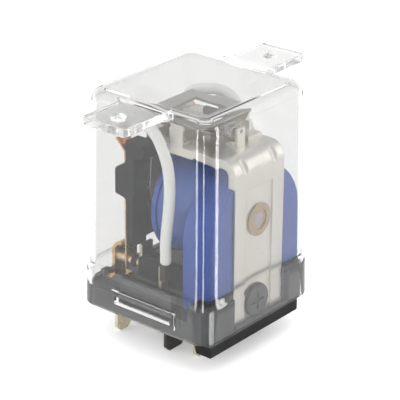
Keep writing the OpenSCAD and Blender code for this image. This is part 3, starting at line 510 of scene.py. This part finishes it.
def relief_normal(tree, source, depth, normal=None):
    """A bump of a depth in millimetres, on another normal if one is given."""
    bump = tree.nodes.new("ShaderNodeBump")
    bump.inputs["Distance"].default_value = depth * MM
    tree.links.new(source, bump.inputs["Height"])
    if normal:
        tree.links.new(normal, bump.inputs["Normal"])
    return bump.outputs["Normal"]


def surface(name, colour, roughness, metal=0.0, change=0.1, grain=900, stretch=(1, 1, 1),
            relief=0.02, relief_scale=6000, relief_stretch=None, specular=0.5, zones=(),
            soft=0.0):
    """A finish with fine relief in millimetres, whose colour is uneven by the share change and
    whose roughness goes from 0.8 to 1.25 times the given one. Each zone is a colour with the
    centre, stretch, start and end of its place. Edges look rounded by the radius soft."""
    material, tree, shader = new_material(name)
    shader.inputs["Metallic"].default_value = metal
    shader.inputs["Specular IOR Level"].default_value = specular
    cloud = ramp(tree, noise(tree, grain, 4, stretch), *NOISE_SPAN)

    def uneven(middle):
        middle = np.array(middle)
        return between(tree, cloud, middle * (1 - change), np.minimum(middle * (1 + change), 1))

    tone = uneven(colour)
    for other, *place in zones:
        tone = between(tree, zone(tree, *place), tone, uneven(other))
    tree.links.new(tone, shader.inputs["Base Color"])
    tree.links.new(ramp(tree, noise(tree, grain * 2.3, 3, stretch), *NOISE_SPAN,
                        max(roughness * 0.8, 0.02), min(roughness * 1.25, 1)),
                   shader.inputs["Roughness"])
    rounded = None
    if soft:
        edge = tree.nodes.new("ShaderNodeBevel")
        edge.samples = 4
        edge.inputs["Radius"].default_value = soft
        rounded = edge.outputs["Normal"]
    tree.links.new(relief_normal(tree, noise(tree, relief_scale, 2, relief_stretch or stretch),
                                 relief, rounded), shader.inputs["Normal"])
    return material


def glowing(material, strength):
    """Makes a finish give white light."""
    shader = material.node_tree.nodes["Principled BSDF"]
    shader.inputs["Emission Color"].default_value = (1, 1, 1, 1)
    shader.inputs["Emission Strength"].default_value = strength


def clear_plastic(name, colour):
    """Polished clear plastic, a little darker and duller in the ears. It bends and mirrors
    what is seen, and it lets light through to the parts inside: shadow rays, diffuse rays and
    rays that have been mirrored too often go straight through."""
    material, tree, shader = new_material(name)
    shader.inputs["Transmission Weight"].default_value = 1.0
    shader.inputs["IOR"].default_value = PLASTIC_INDEX
    ears = maths(tree, "MULTIPLY", zone(tree, (0, 0, 0), (0, 1, 0), *EARS_OUT),
                 zone(tree, (0, 0, 0), (0, 0, 1), *EARS_UP))
    tree.links.new(between(tree, ears, colour, tuple(EAR_TINT * k for k in colour)),
                   shader.inputs["Base Color"])
    polish = ramp(tree, noise(tree, scale=300, detail=2), *NOISE_SPAN, high=POLISH)
    tree.links.new(maths(tree, "MULTIPLY_ADD", ears, EAR_DULL, polish),
                   shader.inputs["Roughness"])
    waves = relief_normal(tree, noise(tree, scale=160, detail=1), depth=0.002)
    tree.links.new(waves, shader.inputs["Normal"])
    light = tree.nodes.new("ShaderNodeLightPath")
    unseen = maths(tree, "MAXIMUM", light.outputs["Is Shadow Ray"],
                   light.outputs["Is Diffuse Ray"])
    late = maths(tree, "GREATER_THAN", light.outputs["Glossy Depth"], MIRRORINGS)
    open_way = tree.nodes.new("ShaderNodeBsdfTransparent")
    open_way.inputs["Color"].default_value = (*OPEN_TINT, 1)
    mix = tree.nodes.new("ShaderNodeMixShader")
    tree.links.new(maths(tree, "MAXIMUM", unseen, late), mix.inputs["Fac"])
    tree.links.new(shader.outputs["BSDF"], mix.inputs[1])
    tree.links.new(open_way.outputs["BSDF"], mix.inputs[2])
    tree.links.new(mix.outputs["Shader"], tree.nodes["Material Output"].inputs["Surface"])
    return material


def wear(piece, material):
    """Gives a piece one material."""
    piece.data.materials.clear()
    piece.data.materials.append(material)


# Stage


class RELAY_OT_stage(bpy.types.Operator):
    """Pale floor, cards that only mirrorings show, soft white room, lights and the camera"""
    bl_idname = "relay.stage"
    bl_label = "Stage and camera"

    def execute(self, context):
        view = context.scene.relay_view
        self.floor(view)
        self.cards(view)
        self.room(view)
        self.lights()
        self.camera(view)
        return {"FINISHED"}

    def floor(self, view):
        """A pale round floor that gives a little light, as a light table does."""
        piece = upright_cylinder("pale_floor", FLOOR_RADIUS, -FLOOR_THICKNESS, 0.0, (0, 0))
        paper = surface("floor_paper", tuple(view.floor_tint), 0.75, change=0.01, grain=60,
                        relief=0.01, relief_scale=900, specular=0.2)
        glowing(paper, view.floor_glow)
        wear(piece, paper)

    def cards(self, view):
        """The cards round the front corner, with the fins of those that give light."""
        for name, azimuths, distances, heights, share in CARDS:
            self.card(name, azimuths, distances, heights, share * view.card_glow)
            cells, depth = GRIDS.get(name, (0, 0))
            for k, middle in enumerate(np.linspace(*azimuths, cells + 1) if cells else ()):
                self.card(f"{name}_fin_{k}", (middle - FIN_HALF, middle + FIN_HALF),
                          (distances[0] - depth, distances[0]), heights, FIN_GLOW)

    def card(self, name, azimuths, distances, heights, glow):
        """A part of a ring, k (cos a, sin a) about the cards' centre, between two azimuths a,
        two distances k and two heights. Only mirrorings show it: the streaks of dark and light
        in the cover's front corner are images of such cards."""
        a = np.radians(np.linspace(*azimuths, CARD_POINTS))
        near, far = distances
        low, high = heights
        rows = [np.column_stack([CARD_CENTRE[0] + k * np.cos(a), CARD_CENTRE[1] + k * np.sin(a),
                                 np.full(len(a), z)])
                for k, z in ((near, low), (far, low), (far, high), (near, high))]
        n = len(a)
        faces = [[i * n + j, i * n + j + 1, (i + 1) % 4 * n + j + 1, (i + 1) % 4 * n + j]
                 for i in range(4) for j in range(n - 1)]
        faces += [[0, n, 2 * n, 3 * n], [4 * n - 1, 3 * n - 1, 2 * n - 1, n - 1]]
        piece = make_mesh(name, np.array(rows).reshape(-1, 3), faces, 0)
        finish = surface(name, (0.01, 0.01, 0.01), 0.9, specular=0.0)
        glowing(finish, glow)
        finish.cycles.emission_sampling = "NONE"
        wear(piece, finish)
        for kind in ("camera", "diffuse", "transmission", "shadow", "volume_scatter"):
            setattr(piece, "visible_" + kind, False)

    def room(self, view):
        """Even white light from all round."""
        room = bpy.data.worlds.new("soft_room")
        room.use_nodes = True
        ground = room.node_tree.nodes["Background"]
        ground.inputs["Color"].default_value = (1.0, 1.0, 1.0, 1)
        ground.inputs["Strength"].default_value = view.surround
        bpy.context.scene.world = room
        bpy.context.scene.view_settings.view_transform = "Standard"

    def lights(self):
        """The soft lamps, which mirrorings don't show."""
        for name, azimuth, height, away, size, power in LAMPS:
            lamp = bpy.data.lights.new(name, "AREA")
            lamp.shape = "RECTANGLE"
            lamp.size, lamp.size_y = size
            lamp.energy = power
            holder = bpy.data.objects.new(name, lamp)
            turn = math.radians(azimuth)
            place = np.array([away * math.cos(turn), away * math.sin(turn), height])
            aim = np.array(LIT_POINT) - place
            aim /= np.linalg.norm(aim)
            side = np.cross(aim, [0, 0, 1])
            side /= np.linalg.norm(side)
            rows = np.column_stack([side, np.cross(side, aim), -aim])
            holder.matrix_world = Matrix.Translation(place) @ Matrix(rows.tolist()).to_4x4()
            holder.visible_glossy = False
            bpy.context.scene.collection.objects.link(holder)

    def camera(self, view):
        """The camera, turned and raised round its target and leaned to one side."""
        a, e, r = view.azimuth, view.elevation, view.roll
        back = np.array([math.sin(a) * math.cos(e), -math.cos(a) * math.cos(e), math.sin(e)])
        level = np.array([math.cos(a), math.sin(a), 0])
        rise = np.cross(back, level)
        right = level * math.cos(r) + rise * math.sin(r)
        up = rise * math.cos(r) - level * math.sin(r)
        target = np.array([view.target_x, 0, view.target_z + BASE_Z])
        lens = bpy.data.cameras.new("camera")
        lens.lens = view.lens
        lens.sensor_width = SENSOR_WIDTH
        lens.clip_start = 0.01
        camera = bpy.data.objects.new("camera", lens)
        turn = Matrix(np.column_stack([right, up, back]).tolist()).to_4x4()
        camera.matrix_world = Matrix.Translation(target + view.distance * back) @ turn
        bpy.context.scene.collection.objects.link(camera)
        bpy.context.scene.camera = camera


class RELAY_OT_leads(bpy.types.Operator):
    """The two white leads: round tubes along their routes, with rounded ends whose radius
    falls as sqrt(1 - loss (1 - u)^2), u from 1 to 0 at the tip"""
    bl_idname = "relay.leads"
    bl_label = "Leads"

    def execute(self, context):
        leads = context.scene.relay_leads
        material = surface("soft_sleeve", tuple(leads.sleeve), 0.42, change=0.03, grain=500,
                           relief=0.006, relief_scale=2500, specular=0.45)
        for name, route in (("lead_front", FRONT_ROUTE), ("lead_rear", REAR_ROUTE)):
            path = through_points(route + [0, 0, BASE_Z], LEAD_SAMPLES)
            s = np.linspace(0, 1, LEAD_SAMPLES)
            u = np.minimum(np.minimum(s, 1 - s) / LEAD_END, 1)
            radii = leads.diameter / 2 * np.sqrt(1 - END_LOSS * (1 - u) ** 2)
            piece = tube(name + "_sleeve", path, radii, leads.sides)
            wear(piece, material)
            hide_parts(name)
            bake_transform(piece)
        return {"FINISHED"}


class RELAY_OT_spring(bpy.types.Operator):
    """The return spring: a wire along the helix (x, reach cos a, reach sin a), whose x and a
    both grow evenly, and along its two hooks"""
    bl_idname = "relay.spring"
    bl_label = "Return spring"

    def execute(self, context):
        leads = context.scene.relay_leads
        low, high = (np.array(v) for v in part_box("return_spring"))
        y = (low[1] + high[1]) / 2
        z = (low[2] + high[2]) / 2
        reach = leads.coil / 2 - leads.wire / 2
        first, last = low[0] + HOOK_ROOM[0], high[0] - HOOK_ROOM[1]
        turns = leads.turns
        t = np.linspace(0, 1, turns * TURN_POINTS + 1)
        a = 2 * math.pi * turns * t
        body = np.stack([first + (last - first) * t, y + reach * np.cos(a),
                         z + reach * np.sin(a)], axis=1)
        head = HEAD_HOOK + [low[0], y, z]
        tail = TAIL_HOOK + [high[0], y, z]
        path = through_points(np.vstack([head, body, tail]), turns * TURN_SAMPLES)
        piece = tube("return_spring_wire", path, np.full(len(path), leads.wire / 2),
                     WIRE_SIDES)
        wear(piece, surface("spring_wire", tuple(context.scene.relay_finishes.spring_steel), 0.3,
                            metal=1, change=0.08, grain=700, relief=0.003))
        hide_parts("return_spring")
        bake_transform(piece)
        return {"FINISHED"}


class RELAY_OT_cover(bpy.types.Operator):
    """The clear cover with its skirt, ears, holes and latch windows"""
    bl_idname = "relay.cover"
    bl_label = "Clear cover"

    def execute(self, context):
        c = context.scene.relay_cover
        piece = self.outside(c)
        for side in (-1, 1):
            combine(piece, self.ear(c, side), "UNION")
            for sign in (-1, 1):
                combine(piece, self.root_fillet(c, side, sign), "UNION")
            combine(piece, self.latch_frame(c, side), "UNION")
        combine(piece, self.inside(c), "DIFFERENCE")
        for side in (-1, 1):
            combine(piece, self.hole(c, side), "DIFFERENCE")
            combine(piece, self.window(c, side), "DIFFERENCE")
        mesh = piece.data
        mesh.shade_smooth()
        mesh.set_sharp_from_angle(angle=math.radians(COVER_SHARP))
        even = piece.modifiers.new("even", "WEIGHTED_NORMAL")
        even.keep_sharp = True
        bake_modifiers(piece)
        wear(piece, clear_plastic("clear_plastic", tuple(c.clear)))
        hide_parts("cover")
        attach(piece, "housing")
        self.tongues(c)
        return {"FINISHED"}

    def tongues(self, c):
        """The base's two latch tongues, which close the windows behind the wall. They are painted
        much darker than the base, as painted shade in the windows' recesses.
        """
        black = tuple(bpy.context.scene.relay_finishes.black)
        shade = surface("latch_painted_shade", tuple(TONGUE_SHADE * k for k in black), 0.7, change=0.2,
                        specular=0.08, **MOULDED)
        for name, side in (("latch_tongue_front", -1), ("latch_tongue_rear", 1)):
            wall = side * (c.depth / 2 + c.skirt_out - c.wall)
            near, far = (wall - side * depth for depth in TONGUE_DEPTHS)
            piece = self.latch_slab(name, c, TONGUE_MARGIN, near, far, radius=0.0002,
                                    edge=0.00005)
            wear(piece, shade)
            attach(piece, "housing")

    def wall_ring(self, c, inset, z, draw=0.0, out=0.0):
        """The drafted outline at height z above the base's underside, drawn in by inset, by
        draw more where the top rounds over, and moved out by out at the skirt."""
        lean = c.draft / c.height * z
        radius = c.inner_corner if inset > 0 else c.corner
        return rounded_ring(c.width / 2 - inset - lean - draw + out,
                            c.depth / 2 - inset - lean - draw + out,
                            max(radius - draw + out, LEAST_CORNER), BASE_Z + z)

    def dome(self, c, inset, top):
        """Rings of the rounding round the top: the outline draws in by r (1 - cos t) while it
        rises by r sin t."""
        r = max(c.top_round - inset, LEAST_DOME)
        t = np.linspace(0, math.pi / 2, DOME_POINTS)
        return [self.wall_ring(c, inset, top - r + r * math.sin(k), r * (1 - math.cos(k)))
                for k in t]

    def skirt(self, c):
        """Profile of the skirt's step from below, as steps out and heights: it draws in by
        skirt_out (3 u^2 - 2 u^3) as it climbs, u from 0 to 1."""
        u = np.linspace(0, 1, STEP_POINTS)
        return (c.skirt_out * (1 - 3 * u ** 2 + 2 * u ** 3),
                c.skirt_height - c.skirt_step * (1 - u))

    def skirt_inside(self, c):
        """Profile of the step's inner face: the outer one carried through the wall along a ray
        that looks down at c.calm_angle, as far as keeps both faces parallel where the ray
        crosses them. So the step hardly bends what shows through it. With t the way through
        the wall, d the bent ray and s the outer face's slope, dt (d x s) = -t (dd x s)."""
        steps = STEP_POINTS - 1
        fine = np.linspace(0, steps, steps * STEP_FINE + 1)
        out, z = (np.interp(fine, np.arange(STEP_POINTS), k) for k in self.skirt(c))
        slope = np.stack([np.gradient(out), np.gradient(z)], axis=1)
        slope[0] = slope[-1] = (0, slope[len(fine) // 2, 1])
        slope /= np.linalg.norm(slope, axis=1)[:, None]
        inward = np.stack([-slope[:, 1], slope[:, 0]], axis=1)
        look = np.array([-math.cos(c.calm_angle), -math.sin(c.calm_angle)])
        along = slope * (slope @ look)[:, None] / CALM_INDEX
        ray = along + inward * np.sqrt(1 - (along ** 2).sum(axis=1))[:, None]
        cross = ray[:, 0] * slope[:, 1] - ray[:, 1] * slope[:, 0]
        turn = np.gradient(ray, axis=0)
        growth = -(turn[:, 0] * slope[:, 1] - turn[:, 1] * slope[:, 0]) / cross
        total = np.concatenate([[0], np.cumsum((growth[1:] + growth[:-1]) / 2)])
        way = c.wall / -ray[-1, 0] * np.exp(total - total[-1])
        inner = np.stack([out, z], axis=1) + way[:, None] * ray
        return inner[::STEP_FINE, 0] + c.wall, inner[::STEP_FINE, 1]

    def step_rings(self, c, inset, profile):
        """One ring for each point of a profile of the step."""
        return [self.wall_ring(c, inset, h, 0, out) for out, h in zip(*profile)]

    def outside(self, c):
        """The outer skin: the foot's rounding, drawn in by e (1 - sin k) at height e (1 - cos k),
        then the step, the drafted walls and the dome."""
        e = c.edge
        rings = [self.wall_ring(c, 0, e * (1 - math.cos(k)), e * (1 - math.sin(k)), c.skirt_out)
                 for k in np.linspace(0, math.pi / 2, EDGE_POINTS)]
        rings += self.step_rings(c, 0, self.skirt(c))
        walls = np.linspace(c.skirt_height, c.height - c.top_round, WALL_LEVELS)
        rings += [self.wall_ring(c, 0, z) for z in walls[1:-1]]
        rings += self.dome(c, 0, c.height)
        return closed_loft("clear_cover", np.array(rings))

    def inside(self, c):
        """The hollow: a straight foot, the step's inner face, the drafted walls and the inner
        dome."""
        step = self.skirt_inside(c)
        rings = [self.wall_ring(c, c.wall, -HOLLOW_REACH, 0, step[0][0])]
        rings += self.step_rings(c, c.wall, step)
        rings += self.dome(c, c.wall, c.height - c.wall)
        return closed_loft("hollow", np.array(rings))

    def hole(self, c, side):
        """The cutter of an ear's hole."""
        below, above = HOLE_REACH
        top = BASE_Z + c.height
        return upright_cylinder("hole", c.hole / 2, top - below, top + above,
                                (0, side * c.pitch / 2))

    def ear(self, c, side):
        """An ear, from where the top's rounding begins to the ear's tip."""
        root = c.depth / 2 - c.draft - c.top_round
        tip = c.ear_span / 2
        top = BASE_Z + c.height
        return rounded_slab("ear", c.ear_width / 2, (tip - root) / 2, c.ear_corner,
                            top - c.ear_thickness, top - EAR_DROP, c.edge,
                            (0, side * (root + tip) / 2))

    def root_fillet(self, c, side, sign):
        """A corner filler between the ear and the wall: a square less the quarter circle
        (r + r cos t, r + r sin t)."""
        r = c.ear_fillet
        sunk = -FILLET_REACH
        t = np.linspace(math.pi, 1.5 * math.pi, FILLET_POINTS)[::-1]
        x = np.concatenate([[sunk, sunk, r], r + r * np.cos(t)])
        y = np.concatenate([[r, sunk, sunk], r + r * np.sin(t)])
        x = sign * x + sign * c.ear_width / 2
        y = side * y + side * (c.depth / 2 - c.draft - FILLET_SHIFT)
        if sign * side < 0:
            x, y = x[::-1], y[::-1]
        top = BASE_Z + c.height
        rings = np.array([np.column_stack([x, y, np.full(len(x), z)])
                          for z in (top - c.ear_thickness + c.edge * 0.4, top - c.edge * 0.4)])
        return closed_loft("fillet", rings)

    def upright_slab(self, name, half_x, half_z, radius, near, far, edge, centre):
        """A plate that stands in the XZ plane, from y near to y far."""
        flat = rounded_slab(name, half_x, half_z, radius, -max(near, far), -min(near, far), edge,
                            (centre[0], centre[1]))
        points = np.empty(len(flat.data.vertices) * 3)
        flat.data.vertices.foreach_get("co", points)
        points = points.reshape(-1, 3)[:, [0, 2, 1]] * [1, -1, 1]
        flat.data.vertices.foreach_set("co", points.ravel())
        flat.data.update()
        return flat

    def latch_slab(self, name, c, margin, near, far, radius, edge):
        """An upright plate about a latch window, wider than it by a margin all round."""
        return self.upright_slab(name, c.latch_width / 2 + margin, c.latch_height / 2 + margin,
                                 radius, near, far, edge,
                                 (c.latch_x, BASE_Z + c.latch_z + c.latch_height / 2))

    def latch_frame(self, c, side):
        """The raised frame of a latch window, before the window is cut."""
        wall = side * (c.depth / 2 + c.skirt_out)
        return self.latch_slab("latch_frame", c, c.latch_frame, wall - side * FRAME_REACH,
                               wall + side * c.latch_out, radius=0.0004, edge=0.0002)

    def window(self, c, side):
        """The cutter of a latch window."""
        wall = side * (c.depth / 2 + c.skirt_out)
        inward, outward = WINDOW_REACH
        return self.latch_slab("latch_window", c, 0, wall - side * inward,
                               wall + side * outward, radius=0.0001, edge=0.00005)


class RELAY_OT_finishes(bpy.types.Operator):
    """Finishes of the solid parts that show as they are"""
    bl_idname = "relay.finishes"
    bl_label = "Finishes"

    def execute(self, context):
        f = context.scene.relay_finishes
        for material, names in (*self.mouldings(f), *self.steels(f), *self.coppers(f)):
            for name in names.split():
                wear(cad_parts[name], material)
        return {"FINISHED"}

    def mouldings(self, f):
        """Finishes of the plastic parts and the tape, each with the names of its pieces."""
        black = surface("black_moulding", tuple(f.black), 0.45, change=0.15, specular=0.1,
                        soft=0.00025, **MOULDED)
        # The base behind the skirt is painted grey, a painted reflection of the skirt's haze;
        # farther up and down it keeps its black.
        rail = (tuple(f.black), (0, 0, BASE_Z + PAINTED_HAZE_HEIGHT), (0, 0, 1), *PAINTED_HAZE_ENDS)
        sides = surface("base_with_painted_haze", tuple(f.painted_haze_base), 0.45, change=0.15, specular=0.1,
                        soft=0.00025, zones=(rail,), **MOULDED)
        blue = surface("blue_moulding", tuple(f.blue), 0.35, change=0.06, grain=260,
                       relief=0.004, relief_scale=2600, soft=0.0002)
        tape = surface("blue_tape", tuple(f.tape), 0.30, change=0.05, grain=500,
                       stretch=(4, 1, 1), relief=0.004, relief_scale=1500)
        return (black, "carrier"), (sides, "base"), (blue, "bobbin"), (tape, "coil_tape")

    def steels(self, f):
        """Finishes of the steel parts."""
        nickel = surface("nickelled_steel", tuple(f.nickel), 0.34, metal=1, change=0.03,
                         grain=220, stretch=(1, 1, 0.25), relief=0.004, relief_scale=1800,
                         relief_stretch=(3, 3, 0.2), soft=0.0003)
        # Painted shade: the guard's top is painted darker than its sides.
        start, end = (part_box("armature_guard")[1][2] - depth for depth in GUARD_SHADE_DEPTHS)
        top = (tuple(GUARD_SHADE * k for k in f.nickel), (0, 0, 0), (0, 0, 1), start, end)
        guard = surface("guard_steel", tuple(f.nickel), 0.36, metal=1, change=0.05, grain=500,
                        relief=0.006, relief_scale=1800, soft=0.0002, zones=(top,))
        axis = (np.array(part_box("core")[0]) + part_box("core")[1]) / 2
        plated = surface("plated_core", tuple(f.core_middle), 0.34, metal=1, change=0.05,
                         grain=600, relief=0.002, relief_scale=1800, soft=0.0002,
                         zones=((tuple(f.core_rim), axis, (0, 1, 1), *CORE_RING),))
        dark = surface("dark_steel", tuple(f.dark_steel), 0.5, metal=1, change=0.12, grain=900,
                       relief=0.006, relief_scale=3000, soft=0.0003)
        return ((nickel, "yoke armature spring_anchor frame_rivets"), (guard, "armature_guard"),
                (plated, "core"), (dark, "frame_screw"))

    def coppers(self, f):
        """Finishes of the parts that carry the currents. The tabs of the common and the closed
        contacts change their finish where they enter the base; below it the common blades are
        painted dark, a painted reflection of the black base."""
        blade = {"metal": 1, "grain": 500, "stretch": (1, 1, 0.3), "relief": 0.006,
                 "relief_scale": 2500, "soft": 0.00015}
        strands = {"grain": 2500, "stretch": (1, 1, 0.2), "relief": 0.08, "relief_scale": 3500,
                   "relief_stretch": (1, 1, 0.1)}
        inside = ((0, 0, 0), (0, 0, 1), BASE_Z - TAB_CHANGE, BASE_Z + TAB_CHANGE)
        copper = surface("enamelled_wire", tuple(f.copper), 0.3, metal=1, change=0.1,
                         grain=500, relief=0.05, relief_scale=3500, relief_stretch=(1, 0, 0))
        bronze = surface("rolled_bronze", tuple(f.bronze), 0.28, metal=1, change=0.08,
                         grain=400, stretch=(1, 1, 0.2), relief=0.003, soft=0.0001)
        brass = surface("tinned_brass", tuple(f.brass), 0.34, change=0.1, **blade)
        # Painted reflection: the common blades are painted dark below the base.
        common = surface("brass_with_painted_reflection", tuple(f.painted_blade_reflection), 0.42, change=0.2,
                         zones=((tuple(f.brass), *inside),), **blade)
        gold = surface("bare_brass", tuple(f.brass), 0.24, metal=1, change=0.1, grain=500,
                       relief=0.004, relief_scale=2500, soft=0.00015,
                       zones=((tuple(f.gold), *inside),))
        silver = surface("silver_alloy", tuple(f.silver), 0.36, metal=1, change=0.08, grain=900,
                         relief=0.006, soft=0.0001)
        braid = surface("fused_braid", tuple(f.copper), 0.36, metal=1, change=0.2, **strands)
        lower_braid_finish = surface("darkened_braid", tuple(f.lower_braid_tint), 0.6, change=0.3, specular=0.2,
                         **strands)
        return ((copper, "copper_winding"), (bronze, "moving_spring_front moving_spring_rear"),
                (brass, "coil_tab_front coil_tab_rear open_tab_front open_tab_rear "
                        "carrier_rivets"),
                (common, "common_tab_front common_tab_rear"),
                (gold, "closed_tab_front closed_tab_rear"),
                (silver, "closed_contact_front closed_contact_rear open_contact_front "
                         "open_contact_rear moving_contact_front moving_contact_rear"),
                (braid, "upper_braid_front upper_braid_rear"),
                (lower_braid_finish, "lower_braid_front lower_braid_rear"))


class RELAY_PT_panel(bpy.types.Panel):
    """Lists the steps and sizes of the relay's looks"""
    bl_idname = "RELAY_PT_panel"
    bl_label = "Relay"
    bl_space_type = "VIEW_3D"
    bl_region_type = "UI"
    bl_category = "Relay"

    def draw(self, context):
        for step in STEPS:
            self.layout.operator(step.bl_idname)
        for group, name in GROUPS.items():
            box = self.layout.box()
            box.label(text=group.bl_rna.description)
            settings = getattr(context.scene, name)
            for key in group.__annotations__:
                box.prop(settings, key)


GROUPS = {RelayView: "relay_view", RelayCover: "relay_cover", RelayLeads: "relay_leads",
          RelayFinishes: "relay_finishes"}
STEPS = (RELAY_OT_stage, RELAY_OT_leads, RELAY_OT_spring, RELAY_OT_cover, RELAY_OT_finishes)


def register():
    """Adds the classes and the settings to Blender."""
    for group, name in GROUPS.items():
        bpy.utils.register_class(group)
        setattr(bpy.types.Scene, name, PointerProperty(type=group))
    for step in STEPS:
        bpy.utils.register_class(step)
    bpy.utils.register_class(RELAY_PT_panel)


def unregister():
    """Removes them again."""
    bpy.utils.unregister_class(RELAY_PT_panel)
    for step in reversed(STEPS):
        bpy.utils.unregister_class(step)
    for group, name in GROUPS.items():
        delattr(bpy.types.Scene, name)
        bpy.utils.unregister_class(group)


def main():
    """Builds every piece in order."""
    register()
    bpy.ops.relay.stage()
    bpy.ops.relay.leads()
    bpy.ops.relay.spring()
    bpy.ops.relay.cover()
    bpy.ops.relay.finishes()


if __name__ == "__main__":
    main()
